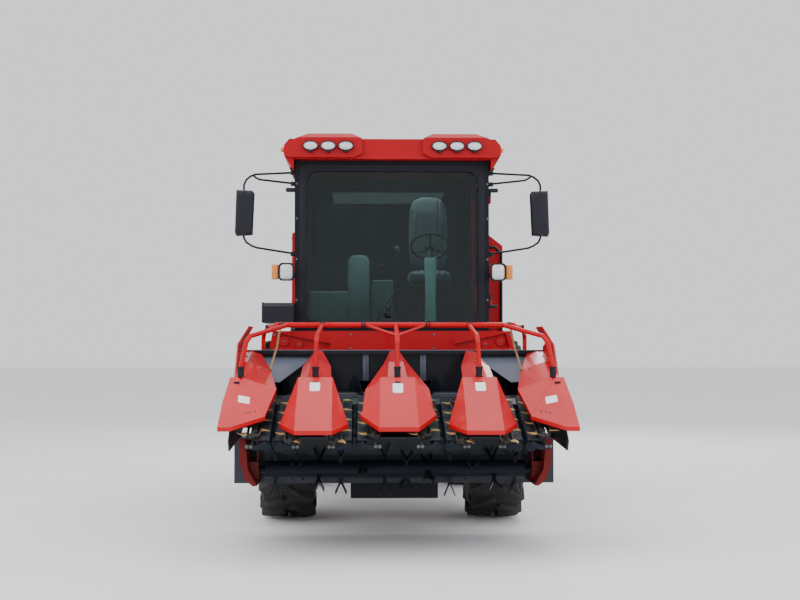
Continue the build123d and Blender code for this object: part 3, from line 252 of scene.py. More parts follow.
def woven(name, colour, sheen=0.6):
    """Seat cloth with a weave, a crease pattern and a light sheen; the crease pattern also lightens the colour as a
    painted highlight.
    """
    g = Graph(name)
    shader = g.add("ShaderNodeBsdfPrincipled",
                   {"Roughness": 0.6, "Coat Weight": sheen, "Coat Roughness": 0.15, "Sheen Weight": 0.3})
    weave = g.add("ShaderNodeTexWave", {"Scale": 160.0, "Distortion": 1.5}, bands_direction="X")
    g.join(g.coords.outputs["Object"], weave.inputs["Vector"])
    across = g.add("ShaderNodeTexWave", {"Scale": 150.0}, bands_direction="Z")
    g.join(g.coords.outputs["Object"], across.inputs["Vector"])
    thread = g.math("MULTIPLY", weave.outputs["Fac"], across.outputs["Fac"])
    creases_and_sheen = g.noise(16.0, 6.0, 0.7, (1.0, 1.0, 0.35))
    tone = g.mix(g.ramp(thread, 0.1, 0.8), tuple(c * 0.6 for c in colour), colour)
    # painted highlight: the crease pattern lightens the cloth towards pale grey-green, a sheen put into the colour
    g.join(g.mix(g.ramp(creases_and_sheen, 0.55, 0.8, (0.0, 0.5)), tone, (0.24, 0.29, 0.30)), shader.inputs["Base Color"])
    g.join(g.bump(creases_and_sheen, 0.6, 0.012, g.bump(thread, 0.3, 0.001)), shader.inputs["Normal"])
    return g.surface(shader)


FINISH = {}


def make_finishes(settings):
    """One material for each finish the pieces use."""
    red, nose = tuple(settings.paint_colour), tuple(settings.nose_colour)
    for maker, name, *values in (
            (painted, "red_paint", red, 0.36, 0.12, 0.01, 0.005),
            (painted, "header_red", nose, 0.36, 0.35, 0.01, 0.005, 0.006),
            (painted, "tube_red", tuple(c * 0.95 for c in nose), 0.34, 0.05, 0.01, 0.005),
            # painted shade: dark_red_paint is a darker copy of the red paint, standing in for shade on red parts seen
            # in shadow
            (painted, "dark_red_paint", (0.16, 0.004, 0.006), 0.42, 0.1, 0.04, 0.02),
            (painted, "black_paint", (0.006, 0.007, 0.012), 0.42, 0.08, settings.dust, 0.008),
            (painted, "grey_paint", (0.030, 0.036, 0.050), 0.38, 0.2, 0.03, 0.01),
            # painted shade: blue_paint is darkened nearly to black to stand in for the deep shade under the machine
            (painted, "blue_paint", (0.012, 0.016, 0.028), 0.38, 0.2, 0.02, 0.01),
            (painted, "rim_paint", (0.62, 0.62, 0.60), 0.38, 0.2, 0.8, 0.08),
            (painted, "wall_black", (0.010, 0.012, 0.018), 0.4, 0.15, 0.02, 0.01),
            (painted, "deflector_grey", (0.11, 0.13, 0.175), 0.34, 0.25, 0.02, 0.01),
            (painted, "deck_slate", (0.009, 0.012, 0.022), 0.45, 0.02, 0.01, 0.006),
            (two_tone, "end_paint", nose, (0.016, 0.018, 0.026), 1.06),
            (moulded, "console_grey", (0.13, 0.165, 0.150), 0.5, 200.0, 0.06, 0.03),
            (bare_metal, "steel", (0.16, 0.16, 0.165), 0.40, (1, 6, 6), 0.45),
            (bare_metal, "chain_steel", (0.07, 0.065, 0.06), 0.42, (1, 1, 1), 0.5),
            (bare_metal, "chain_brass", (0.50, 0.34, 0.13), 0.3, (1, 1, 1), 0.6),
            (bare_metal, "chrome_rod", (0.78, 0.78, 0.80), 0.12, (1, 1, 1), 0.03),
            (painted, "cast", (0.03, 0.032, 0.036), 0.6, 0.0, 0.10, 0.05),
            (moulded, "black_plastic", (0.008, 0.008, 0.015), 0.42, 260.0, 0.12, 0.008),
            (moulded, "black_rubber", (0.006, 0.007, 0.014), 0.6, 180.0, 0.15, 0.006),
            (moulded, "console_plastic", (0.50, 0.60, 0.53), 0.45, 200.0, 0.06, 0.03),
            (tyre_rubber, "tyre_rubber"),
            (glazing, "glass_tint", tuple(settings.glass_tint)),
            (lens, "lamp_white", (0.88, 0.90, 0.93)),
            (lens, "amber", (0.9, 0.28, 0.02)),
            (woven, "seat_cover", (0.022, 0.026, 0.030), 0.4),
            (bare_metal, "bright", (0.85, 0.86, 0.88), 0.12, (1, 1, 1), 0.0),
            (moulded, "plate_white", (0.86, 0.87, 0.90), 0.3, 90.0, 0.04, 0.04),
            (bare_metal, "mirror_glass", (0.72, 0.76, 0.80), 0.06, (1, 1, 1), 0.0),
            (bare_metal, "strap", (0.36, 0.24, 0.12), 0.4, (1, 1, 1), 0.3),
    ):
        FINISH[name] = maker(name, *values)


# Mesh helpers
def plain_piece(name, mesh, body, smooth=40.0):
    """A mesh that already has its material, as a piece that rides on a body."""
    piece = bpy.data.objects.new(name, mesh)
    bpy.context.scene.collection.objects.link(piece)
    mesh.shade_smooth()
    mesh.set_sharp_from_angle(angle=radians(smooth))
    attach(piece, body)
    return piece


def link_mesh(name, mesh, body, finish, smooth=40.0):
    """A mesh with one finish, as a piece that rides on a body."""
    mesh.materials.append(FINISH[finish])
    return plain_piece(name, mesh, body, smooth)


def finish_mesh(build, name):
    """Outward normals, then the bmesh becomes a mesh."""
    bmesh.ops.recalc_face_normals(build, faces=build.faces)
    mesh = bpy.data.meshes.new(name)
    build.to_mesh(mesh)
    build.free()
    return mesh


def piece_of(build, name, body, finish, smooth=40.0):
    """A built form with one finish, as a piece that rides on a body."""
    return link_mesh(name, finish_mesh(build, name), body, finish, smooth)


def loft(build, rings, closed=False):
    """Joins rings of the same count; the ends are capped, or the last ring joins the first as in a window frame."""
    made = [[build.verts.new(point) for point in ring] for ring in rings]
    for ring, following in zip(made, made[1:] + (made[:1] if closed else [])):
        count = len(ring)
        for k in range(count):
            build.faces.new((ring[k], ring[(k + 1) % count], following[(k + 1) % count], following[k]))
    if not closed:
        build.faces.new(made[0])
        build.faces.new(list(reversed(made[-1])))


def revolve(build, profile, centre, steps=96):
    """Turns columns (across, radius) about the X axis through centre; the profile is closed."""
    turns = [2 * pi * k / steps for k in range(steps)]
    loft(build, [[centre + Vector((across, radius * sin(turn), radius * cos(turn))) for turn in turns]
                 for across, radius in profile], closed=True)


def circle_ring(centre, normal, radius, steps=16):
    """Points of a circle about centre, facing along normal."""
    facing = Vector(normal).to_track_quat("Z", "Y")
    turns = [2 * pi * k / steps for k in range(steps)]
    return [Vector(centre) + facing @ Vector((radius * cos(turn), radius * sin(turn), 0)) for turn in turns]


def turned(build, centre, axis, stations, steps=20):
    """A turned form from columns (along, radius) about an axis through centre."""
    axis = Vector(axis).normalized()
    loft(build, [circle_ring(Vector(centre) + axis * along, axis, radius, steps) for along, radius in stations])


def bolt(build, at, axis, size=0.009):
    """A hexagon head on a round washer, a little domed."""
    turned(build, at, axis, ((-0.001, size * 1.3), (size * 0.25, size * 1.3)), 14)
    turned(build, at, axis, ((size * 0.2, size), (size * 0.8, size), (size * 0.95, size * 0.8)), 6)


def slab(build, outline, lift, crown=0.0):
    """A plate from an outline in space, lifted along a vector, its rim eased by crown."""
    outline = [Vector(point) for point in outline]
    middle = sum(outline, Vector()) / len(outline)
    lift = Vector(lift)
    rings = [outline, [point + lift * (1 - crown) for point in outline]]
    if crown:
        rings.append([point + (middle - point).normalized() * lift.length * crown + lift for point in outline])
    loft(build, rings)


def rounded_outline(origin, across, up, width, height, radius, steps=5):
    """A rectangle with rounded corners in the plane of two directions."""
    origin, across, up = Vector(origin), Vector(across).normalized(), Vector(up).normalized()
    points = []
    for corner, (sx, sy) in enumerate(((1, 1), (-1, 1), (-1, -1), (1, -1))):
        for step in range(steps + 1):
            turn = pi / 2 * (corner + step / steps)
            points.append(origin + across * (sx * (width / 2 - radius) + radius * cos(turn))
                          + up * (sy * (height / 2 - radius) + radius * sin(turn)))
    return points


def tube_along(build, points, radius, sides=12):
    """A round tube through points, its sections turned with the path."""
    points = [Vector(point) for point in points]
    rings = []
    side = None
    for k, point in enumerate(points):
        way = (points[min(k + 1, len(points) - 1)] - points[max(k - 1, 0)]).normalized()
        if side is None:
            side = way.orthogonal().normalized()
        side = (side - way * side.dot(way)).normalized()
        other = way.cross(side)
        rings.append([point + (side * cos(2 * pi * j / sides) + other * sin(2 * pi * j / sides)) * radius
                      for j in range(sides)])
    loft(build, rings)


def rounded_block(build, low, high, radius=0.008, segments=3):
    """A box between two corners with all its edges rounded."""
    low, high = Vector(low), Vector(high)
    made = bmesh.ops.create_cube(build, size=1.0)["verts"]
    for vert in made:
        vert.co = Vector([low[k] + (vert.co[k] + 0.5) * (high[k] - low[k]) for k in range(3)])
    edges = list({edge for vert in made for edge in vert.link_edges})
    bmesh.ops.bevel(build, geom=edges, offset=radius, segments=segments, profile=0.5, affect="EDGES")


def side_block(build, side, low, high, radius, segments=3):
    """A rounded box given for the left side, on that side or mirrored to the other."""
    near, far = sorted((side * low[0], side * high[0]))
    rounded_block(build, (near, *low[1:]), (far, *high[1:]), radius, segments)


def surface_at(node, start, way=(0, 0, -1)):
    """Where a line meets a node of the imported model, and the direction that surface faces."""
    found, place, normal, _ = frame["nodes"][node].ray_cast(Vector(start), Vector(way))
    if not found:
        raise RuntimeError(f"no surface of {node} on the line from {tuple(start)}")
    if normal.dot(Vector(way)) > 0:
        normal = -normal
    return place, normal


def sheet_at(x, y):
    """The top of the header's sheet metal, noses and covers alike, and the way it faces."""
    hits = []
    for node in ("divider_hoods", "divider_covers"):
        found, place, normal, _ = frame["nodes"][node].ray_cast(Vector((x, y, 4)), Vector((0, 0, -1)))
        if found:
            hits.append((place, normal if normal.z > 0 else -normal))
    if not hits:
        raise RuntimeError(f"no sheet metal at {x}, {y}")
    return max(hits, key=lambda hit: hit[0].z)


def plate_on(build, at, width, height, radius, lift=0.003):
    """A rounded plate lying on the header's sheet metal."""
    place, normal = sheet_at(*at)
    across = Vector((1, 0, 0)) - normal * normal.x
    up = normal.cross(across)
    outline = rounded_outline(place - normal * 0.001, across, up, width, height, radius)
    slab(build, outline, normal * lift, 0.4)


# Geometry Nodes: one item set at each point of a mesh, turned by that point's own directions
def start_tree(name, number):
    """A new tree with its named inputs; gives back the tree and the node they come from."""
    tree = bpy.data.node_groups.new(name, "GeometryNodeTree")
    for label, kind in (("Geometry", "Geometry"), ("Item", "Object"), (number, "Float"), ("Finish", "Material")):
        tree.interface.new_socket(label, in_out="INPUT", socket_type="NodeSocket" + kind)
    tree.interface.new_socket("Geometry", in_out="OUTPUT", socket_type="NodeSocketGeometry")
    return tree, tree.nodes.new("NodeGroupInput")


def set_items(tree, inward, points, rotation):
    """Sets the item on points, makes it real, gives it its finish and ends the tree."""
    add, link = tree.nodes.new, tree.links.new
    item = add("GeometryNodeObjectInfo")
    link(inward.outputs["Item"], item.inputs["Object"])
    place = add("GeometryNodeInstanceOnPoints")
    link(points, place.inputs["Points"])
    link(item.outputs["Geometry"], place.inputs["Instance"])
    link(rotation, place.inputs["Rotation"])
    real = add("GeometryNodeRealizeInstances")
    link(place.outputs["Instances"], real.inputs["Geometry"])
    coat = add("GeometryNodeSetMaterial")
    link(real.outputs["Geometry"], coat.inputs["Geometry"])
    link(inward.outputs["Finish"], coat.inputs["Material"])
    link(coat.outputs["Geometry"], add("NodeGroupOutput").inputs["Geometry"])
    return place


def repeat_tree():
    """Sets an item on every point; the points carry the item's Z and X directions."""
    tree, inward = start_tree("repeat_item", "Size")
    add, link = tree.nodes.new, tree.links.new
    points = add("GeometryNodeMeshToPoints")
    link(inward.outputs["Geometry"], points.inputs["Mesh"])
    axes = add("FunctionNodeAxesToRotation")
    axes.primary_axis, axes.secondary_axis = "Z", "X"
    for label, socket in (("stand", "Primary Axis"), ("along", "Secondary Axis")):
        direction = add("GeometryNodeInputNamedAttribute")
        direction.data_type = "FLOAT_VECTOR"
        direction.inputs["Name"].default_value = label
        link(direction.outputs["Attribute"], axes.inputs[socket])
    place = set_items(tree, inward, points.outputs["Points"], axes.outputs["Rotation"])
    link(inward.outputs["Size"], place.inputs["Scale"])
    return tree


def chain_tree():
    """Sets an item at an even pitch along the closed paths of a flat mesh of edges."""
    tree, inward = start_tree("chain_links", "Pitch")
    add, link = tree.nodes.new, tree.links.new
    path = add("GeometryNodeMeshToCurve")
    link(inward.outputs["Geometry"], path.inputs["Mesh"])
    upright = add("GeometryNodeSetCurveNormal")
    upright.mode = "Z_UP"
    link(path.outputs["Curve"], upright.inputs["Curve"])
    points = add("GeometryNodeCurveToPoints")
    points.mode = "LENGTH"
    link(upright.outputs["Curve"], points.inputs["Curve"])
    link(inward.outputs["Pitch"], points.inputs["Length"])
    set_items(tree, inward, points.outputs["Points"], points.outputs["Rotation"])
    return tree


def grown(name, base, tree, **inputs):
    """Runs a tree on a base mesh and gives back the plain mesh."""
    carrier = bpy.data.objects.new(name + "_base", base)
    bpy.context.scene.collection.objects.link(carrier)
    modifier = carrier.modifiers.new("grow", "NODES")
    modifier.node_group = tree
    for socket in tree.interface.items_tree:
        if socket.in_out == "INPUT" and socket.name in inputs:
            modifier[socket.identifier] = inputs[socket.name]
    view = bpy.context.evaluated_depsgraph_get()
    mesh = bpy.data.meshes.new_from_object(carrier.evaluated_get(view))
    mesh.name = name
    bpy.data.objects.remove(carrier)
    return mesh


def item_object(name, build):
    """A small mesh that a tree repeats; it is kept out of the scene."""
    return bpy.data.objects.new(name, finish_mesh(build, name))


def repeated(name, places, item, body, finish, size):
    """One piece of many like items; places are (point, stand direction, along direction)."""
    base = bpy.data.meshes.new(name + "_points")
    base.from_pydata([tuple(place[0]) for place in places], [], [])
    for key, column in (("stand", 1), ("along", 2)):
        data = base.attributes.new(key, "FLOAT_VECTOR", "POINT")
        for k, place in enumerate(places):
            data.data[k].vector = tuple(place[column])
    mesh = grown(name, base, repeat_tree(), Item=item, Size=size, Finish=FINISH[finish])
    return plain_piece(name, mesh, body)


def hex_bolt():
    """A hexagon bolt head on its washer, standing on the origin along Z, 20 mm across."""
    build = bmesh.new()
    turned(build, (0, 0, -0.001), (0, 0, 1), ((0, 0.013), (0.0035, 0.013)), 14)
    turned(build, (0, 0, 0.002), (0, 0, 1), ((0, 0.0100), (0.0065, 0.0100), (0.008, 0.0080)), 6)
    return item_object("hex_bolt", build)


# Settings
class HarvesterSettings(bpy.types.PropertyGroup):
    """Sizes and colours that a user would change."""

    paint_colour: bpy.props.FloatVectorProperty(
        name="Body paint", description="Colour of the cab roof, panels and tank", subtype="COLOR", size=3,
        default=(0.40, 0.002, 0.008), min=0, max=1)
    nose_colour: bpy.props.FloatVectorProperty(
        name="Header paint", description="Colour of the noses and covers", subtype="COLOR", size=3,
        default=(0.56, 0.003, 0.008), min=0, max=1)
    glass_tint: bpy.props.FloatVectorProperty(
        name="Glass tint", description="Colour that light takes in the windows", subtype="COLOR", size=3,
        default=(0.55, 0.70, 0.71), min=0, max=1)
    dust: bpy.props.FloatProperty(
        name="Dust", description="How much dust lies on the low black parts", default=0.06, min=0, max=1,
        subtype="FACTOR")
    lug_rake: bpy.props.FloatProperty(
        name="Lug slant", description="Angle of the driven tyres' lugs to the axle", default=radians(40),
        subtype="ANGLE")
    lug_count: bpy.props.IntProperty(
        name="Lugs", description="Lugs on each half of a driven tyre", default=18, min=6, max=40)
    chain_pitch: bpy.props.FloatProperty(
        name="Chain pitch", description="Distance from link to link", default=0.0382, unit="LENGTH")
    flight_pitch: bpy.props.FloatProperty(
        name="Auger pitch", description="Advance of the auger's flight in one turn", default=0.3, unit="LENGTH")
    wheel_radius: bpy.props.FloatProperty(
        name="Steering wheel", description="Radius of the steering wheel's rim", default=0.166, unit="LENGTH")
    light_strength: bpy.props.FloatProperty(
        name="Studio light", description="Strength of the studio's soft lights", default=1.0, min=0)


# Nodes that take a tone of their own; the chopper rotor's near-black deck_slate is painted shade
OWN_AND_SHADED_FINISH = {"back_wall": "wall_black", "trough": "deflector_grey", "end_plates": "end_paint",
              "deck_plates": "deck_slate", "snapping_rolls": "deck_slate", "chopper_rotor": "deck_slate",
              "hood_posts": "wall_black", "header_frame": "wall_black"}


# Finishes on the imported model's nodes
class HARVESTER_OT_finishes(bpy.types.Operator):
    """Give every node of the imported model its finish"""
    bl_idname = "harvester.finishes"
    bl_label = "Finishes"

    def execute(self, context):
        make_finishes(context.scene.harvester)
        for entry in frame["record"]["subparts"]:
            node = frame["nodes"][entry["node"]]
            material = FINISH[entry["material_slot"]]
            if not node.material_slots:
                node.data.materials.append(material)
            for slot in node.material_slots:
                slot.link = "OBJECT"
                slot.material = material
        for name, finish in OWN_AND_SHADED_FINISH.items():
            for slot in frame["nodes"][name].material_slots:
                slot.material = FINISH[finish]
        return {"FINISHED"}


# Wheels
def lugged_tyre_mesh(settings, centre):
    """A driven tyre: bulged walls with rings, a rounded tread and slanting lugs that run over the shoulders."""
    build = bmesh.new()
    half = [(0.190, 0.386), (0.198, 0.400), (0.206, 0.420), (0.228, 0.470), (0.2345, 0.540), (0.2345, 0.548),
            (0.2315, 0.552), (0.2335, 0.556), (0.232, 0.610), (0.224, 0.665), (0.212, 0.704), (0.198, 0.722),
            (0.150, 0.733), (0.080, 0.738), (0.0, 0.740)]
    outside = [(-a, r) for a, r in half] + [(a, r) for a, r in reversed(half[:-1])]
    inside = [(0.178, 0.392), (0.200, 0.470), (0.205, 0.600), (0.180, 0.690), (0.0, 0.712)]
    inside += [(-a, r) for a, r in reversed(inside[:-1])]
    revolve(build, outside + inside, centre, 120)
    step = 2 * pi / settings.lug_count
    slant = settings.lug_rake
    for side in (-1, 1):
        for count in range(settings.lug_count):
            middle_turn = step / 4 * side + count * step
            rings = []
            # stations along the lug: along, foot radius, top radius, half width at foot, half width at top
            for along, foot, top, wide, narrow in (
                    (-0.128, 0.725, 0.7700, 0.030, 0.018), (-0.118, 0.725, 0.7790, 0.032, 0.021),
                    (-0.060, 0.722, 0.7795, 0.032, 0.021), (0.0, 0.718, 0.7795, 0.033, 0.022),
                    (0.060, 0.712, 0.7780, 0.034, 0.023), (0.108, 0.700, 0.7740, 0.036, 0.025),
                    (0.132, 0.680, 0.7640, 0.037, 0.027), (0.143, 0.630, 0.7000, 0.034, 0.026)):
                ring = []
                for radius, width in ((foot, -wide), (top, -narrow), (top, narrow), (foot, wide)):
                    across = side * (0.118 + along * cos(slant) - width * sin(slant))
                    across = max(-0.2345, min(0.2345, across))
                    turn = middle_turn + (-along * sin(slant) - width * cos(slant)) / 0.76
                    ring.append(centre + Vector((across, -radius * sin(turn), -radius * cos(turn))))
                rings.append(ring)
            loft(build, rings)
    return finish_mesh(build, "lugged_tyre")


def ribbed_tyre_mesh(centre):
    """A steered tyre: four ribs with grooves between them and notched shoulders."""
    build = bmesh.new()
    half = [(0.113, 0.232), (0.122, 0.250), (0.143, 0.290), (0.1545, 0.345), (0.1545, 0.352), (0.152, 0.356),
            (0.1535, 0.360), (0.150, 0.410), (0.140, 0.450), (0.128, 0.470), (0.112, 0.4800), (0.084, 0.4830),
            (0.080, 0.468), (0.064, 0.468), (0.060, 0.4840), (0.014, 0.4845), (0.009, 0.468)]
    outside = [(-a, r) for a, r in half] + [(a, r) for a, r in reversed(half)]
    inside = [(0.102, 0.240), (0.130, 0.330), (0.126, 0.430), (0.0, 0.455)]
    inside += [(-a, r) for a, r in reversed(inside[:-1])]
    revolve(build, outside + inside, centre, 144)
    for vert in build.verts:
        local = vert.co - centre
        radius = (local.y ** 2 + local.z ** 2) ** 0.5
        turn = (int(round(144 * (1 + atan2(local.y, local.z) / (2 * pi)))) // 2) % 3
        if radius > 0.44 and abs(local.x) > 0.083 and turn == 0:
            vert.co = centre + Vector((local.x, local.y * (1 - 0.008 / radius), local.z * (1 - 0.008 / radius)))
    return finish_mesh(build, "ribbed_tyre")


def rim_mesh(centre, outward, rim_r, half_w, disc_at, hub_r, hub_reach):
    """A rim: rolled flanges, bead seats, a well, a dished disc and a hub with its cap."""
    build = bmesh.new()
    seat_r, well_r, edge = rim_r + 0.003, rim_r - 0.022, half_w - 0.028
    outer = [(-edge, seat_r + 0.016), (-edge + 0.003, seat_r + 0.022), (-edge + 0.009, seat_r + 0.019),
             (-edge + 0.011, seat_r + 0.002), (-edge * 0.55, seat_r - 0.002), (-edge * 0.42, well_r),
             (edge * 0.30, well_r), (edge * 0.45, seat_r - 0.002), (edge - 0.011, seat_r + 0.002),
             (edge - 0.009, seat_r + 0.019), (edge - 0.003, seat_r + 0.022), (edge, seat_r + 0.016)]
    inner = [(edge - 0.001, seat_r - 0.010), (edge * 0.48, seat_r - 0.014), (edge * 0.31, well_r - 0.010),
             (-edge * 0.43, well_r - 0.010), (-edge * 0.58, seat_r - 0.014), (-edge + 0.001, seat_r - 0.010)]
    revolve(build, [(outward * a, r) for a, r in outer + inner], centre, 96)
    disc = [(disc_at, well_r - 0.006), (disc_at + 0.020, well_r - 0.006), (disc_at + 0.022, rim_r * 0.80),
            (disc_at + 0.046, rim_r * 0.70), (disc_at + 0.050, rim_r * 0.62), (disc_at + 0.026, rim_r * 0.55),
            (disc_at + 0.024, hub_r + 0.012), (disc_at + 0.030, hub_r), (disc_at + hub_reach - 0.012, hub_r * 0.92),
            (disc_at + hub_reach, hub_r * 0.80), (disc_at + hub_reach + 0.002, hub_r * 0.45),
            (disc_at + hub_reach + 0.014, hub_r * 0.40), (disc_at + hub_reach + 0.018, hub_r * 0.30),
            (disc_at + hub_reach + 0.019, 0.002), (disc_at, 0.002)]
    revolve(build, [(outward * a, r) for a, r in disc], centre, 96)
    return finish_mesh(build, "rim")


class HARVESTER_OT_wheels(bpy.types.Operator):
    """Tyres with lugs and ribs, and their rims with nuts"""
    bl_idname = "harvester.wheels"
    bl_label = "Wheels"
    nut = None

    def dress(self, key, centre, outward, tyre_mesh, rim_sizes, disc, hub_r, nuts):
        """One wheel: its tyre, its rim and the ring of nuts on the rim's disc."""
        end, side = key
        body = f"{end}_wheel_{side}"
        tyre = link_mesh(f"{end}_tyre_dressed_{side}", tyre_mesh, body, "tyre_rubber", smooth=35)
        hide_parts(f"{end}_tyre_{side}")
        rim = link_mesh(f"{end}_rim_dressed_{side}", rim_mesh(centre, outward, *rim_sizes, disc, hub_r, HUB_REACH),
                        body, "rim_paint")
        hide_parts(f"{end}_rim_{side}")
        count, circle, size = nuts
        places = []
        for k in range(count):
            turn = 2 * pi * k / count
            way = Vector((0, sin(turn), cos(turn)))
            places.append((centre + Vector((outward * (disc + 0.025), 0, 0)) + way * circle,
                           (outward, 0, 0), tuple(way)))
        repeated(f"{end}_wheel_nuts_{side}", places, self.nut, body, "steel", size)

    def execute(self, context):
        settings = context.scene.harvester
        self.nut = hex_bolt()
        for side, (x, outward) in FRONT_WHEELS.items():
            centre = Vector((x, *FRONT_AXLE))
            self.dress(("front", side), centre, outward, lugged_tyre_mesh(settings, centre), (0.381, 0.235),
                       -0.094, 0.114, (10, 0.165, 1.3))
        for side, (x, outward) in REAR_WHEELS.items():
            centre = Vector((x, *REAR_AXLE))
            self.dress(("rear", side), centre, outward, ribbed_tyre_mesh(centre), (0.229, 0.155),
                       -0.030, 0.069, (6, 0.102, 1.1))
        return {"FINISHED"}


# Gathering chains, laid out flat on the deck's own plane and then tilted with it
DECK = Matrix.Translation(DECK_FRONT) @ Matrix.Rotation(DECK_TILT, 4, "X")
CHAIN_LINE_R = 0.043
CHAIN_REAR = 0.745
CHAIN_FRONTS = (-0.0378, 0.0622)


def chain_loops():
    """Centre x and front y of each chain loop, in the deck's plane."""
    loops = []
    for row_x in ROWS_X:
        for side in (-1, 1):
            x = row_x + side * 0.135
            beside_long = abs(abs(x) - DIVIDER_X) < 0.2
            loops.append((x, CHAIN_FRONTS[0] if beside_long else CHAIN_FRONTS[1]))
    return loops


def chain_paths(name):
    """A flat mesh of closed paths, one for each chain."""
    points, edges = [], []
    for x, front in chain_loops():
        first = len(points)
        for end, start in ((CHAIN_REAR, 0), (front, pi)):
            for k in range(13):
                turn = start + pi * k / 12
                points.append((x + CHAIN_LINE_R * cos(turn), end + CHAIN_LINE_R * sin(turn), 0.0195))
        count = len(points) - first
        edges += [(first + k, first + (k + 1) % count) for k in range(count)]
    mesh = bpy.data.meshes.new(name)
    mesh.from_pydata(points, edges, [])
    return mesh


def link_item():
    """One link: a roller between two waisted plates. X looks outwards from the loop, Z runs along it."""
    build = bmesh.new()
    outline = []
    for end in (-1, 1):
        for k in range(5):
            turn = pi * k / 4 + (0 if end > 0 else pi)
            outline.append(((0.0085 * cos(turn)), end * 0.016 + 0.0085 * sin(turn)))
        outline.append((-end * 0.0055, 0.0))
    for low, high in ((-0.0105, -0.0070), (0.0070, 0.0105)):
        slab(build, [(u, low, v) for u, v in outline], (0, high - low, 0))
    turned(build, (0, -0.0065, 0), (0, 1, 0), ((0, 0.0075), (0.013, 0.0075)), 8)
    turned(build, (0, -0.0120, 0.016), (0, 1, 0), ((0, 0.004), (0.024, 0.004)), 6)
    return item_object("chain_link", build)


def finger_item():
    """A crescent finger bolted on a link, its tip swept back as the chain runs."""
    build = bmesh.new()
    crescent = ((0.004, -0.020), (0.004, 0.018), (0.020, 0.020), (0.038, 0.016), (0.056, 0.006), (0.068, -0.008),
                (0.0755, -0.024), (0.060, -0.016), (0.044, -0.012), (0.026, -0.014))
    slab(build, [(reach, -0.0100, along) for reach, along in crescent], (0, -0.006, 0), 0.2)
    for along in (-0.008, 0.010):
        turned(build, (0.014, -0.0155, along), (0, -1, 0), ((0, 0.005), (0.004, 0.005)), 6)
    return item_object("finger", build)


class HARVESTER_OT_chains(bpy.types.Operator):
    """Gathering chains of links and fingers, with their sprockets"""
    bl_idname = "harvester.chains"
    bl_label = "Gathering chains"

    def execute(self, context):
        pitch = context.scene.harvester.chain_pitch
        tree = chain_tree()
        links = grown("chain_links", chain_paths("chain_path"), tree, Item=link_item(), Pitch=pitch,
                      Finish=FINISH["chain_steel"])
        links.transform(DECK)
        piece = plain_piece("chain_links", links, "header")
        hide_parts("gather_chains")
        fingers = grown("chain_fingers", chain_paths("finger_path"), tree, Item=finger_item(), Pitch=pitch * 6,
                        Finish=FINISH["chain_brass"])
        fingers.transform(DECK)
        plain_piece("chain_fingers", fingers, "header")
        build = bmesh.new()
        for x, front in chain_loops():
            for end in (front, CHAIN_REAR):
                ring = []
                for k in range(36):
                    turn, radius = 2 * pi * k / 36, (0.037, 0.041, 0.034, 0.030)[k % 4]
                    ring.append(DECK @ Vector((x + radius * cos(turn), end + radius * sin(turn), 0.0165)))
                up = DECK.to_3x3() @ Vector((0, 0, 1))
                loft(build, [ring, [point + up * 0.006 for point in ring]])
                turned(build, DECK @ Vector((x, end, 0.0085)), up, ((0, 0.022), (0.018, 0.022), (0.022, 0.017)), 16)
                bolt(build, DECK @ Vector((x, end, 0.0300)), up, 0.010)
            # guide rail between the runs
            low, high = front + 0.06, CHAIN_REAR - 0.06
            rail = ((-0.022, low), (0.022, low), (0.022, high), (-0.022, high))
            slab(build, [DECK @ Vector((x + u, v, 0.0085)) for u, v in rail], up * 0.018, 0.15)
        piece_of(build, "chain_sprockets", "header", "cast")
        return {"FINISHED"}


class HARVESTER_OT_auger(bpy.types.Operator):
    """Cross auger: a smooth tube with one continuous flight to each hand"""
    bl_idname = "harvester.auger"
    bl_label = "Cross auger"

    def execute(self, context):
        pitch = context.scene.harvester.flight_pitch
        build = bmesh.new()
        turned(build, AUGER_AT + Vector((-1.15, 0, 0)), (1, 0, 0),
               ((0, 0.058), (0.004, 0.062), (2.296, 0.062), (2.3, 0.058)), 40)
        turned(build, AUGER_AT + Vector((-1.225, 0, 0)), (1, 0, 0),
               ((0, 0.019), (0.002, 0.021), (2.448, 0.021), (2.45, 0.019)), 24)
        for side in (-1, 1):
            steps = 36 * 3
            rings = []
            for k in range(steps + 1):
                turn = 2 * pi * 3 * k / steps
                x = side * (0.165 + pitch * turn / (2 * pi))
                reach = 0.187 - 0.05 * max(0.0, 1 - min(k, steps - k) / 4.0)
                way = Vector((0, -sin(turn), -cos(turn)))
                flight = ((-0.004, 0.058), (-0.0025, reach - 0.003), (0.0, reach), (0.0025, reach - 0.003),
                          (0.004, 0.058))
                ring = [AUGER_AT + Vector((x + dx, 0, 0)) + way * r for dx, r in flight]
                rings.append(ring)
            loft(build, rings)
        # feeding paddles at the middle
        for turn in (0.0, pi / 2, pi, 3 * pi / 2):
            way = Vector((0, -sin(turn), -cos(turn)))
            along = Vector((0, -cos(turn), sin(turn)))
            blade = ((-0.14, 0.060), (0.14, 0.060), (0.12, 0.165), (-0.12, 0.165))
            corners = [AUGER_AT + Vector((x, 0, 0)) + way * r for x, r in blade]
            slab(build, [corner - along * 0.003 for corner in corners], along * 0.006)
        piece = piece_of(build, "auger_dressed", "auger", "blue_paint")
        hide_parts("auger")
        return {"FINISHED"}


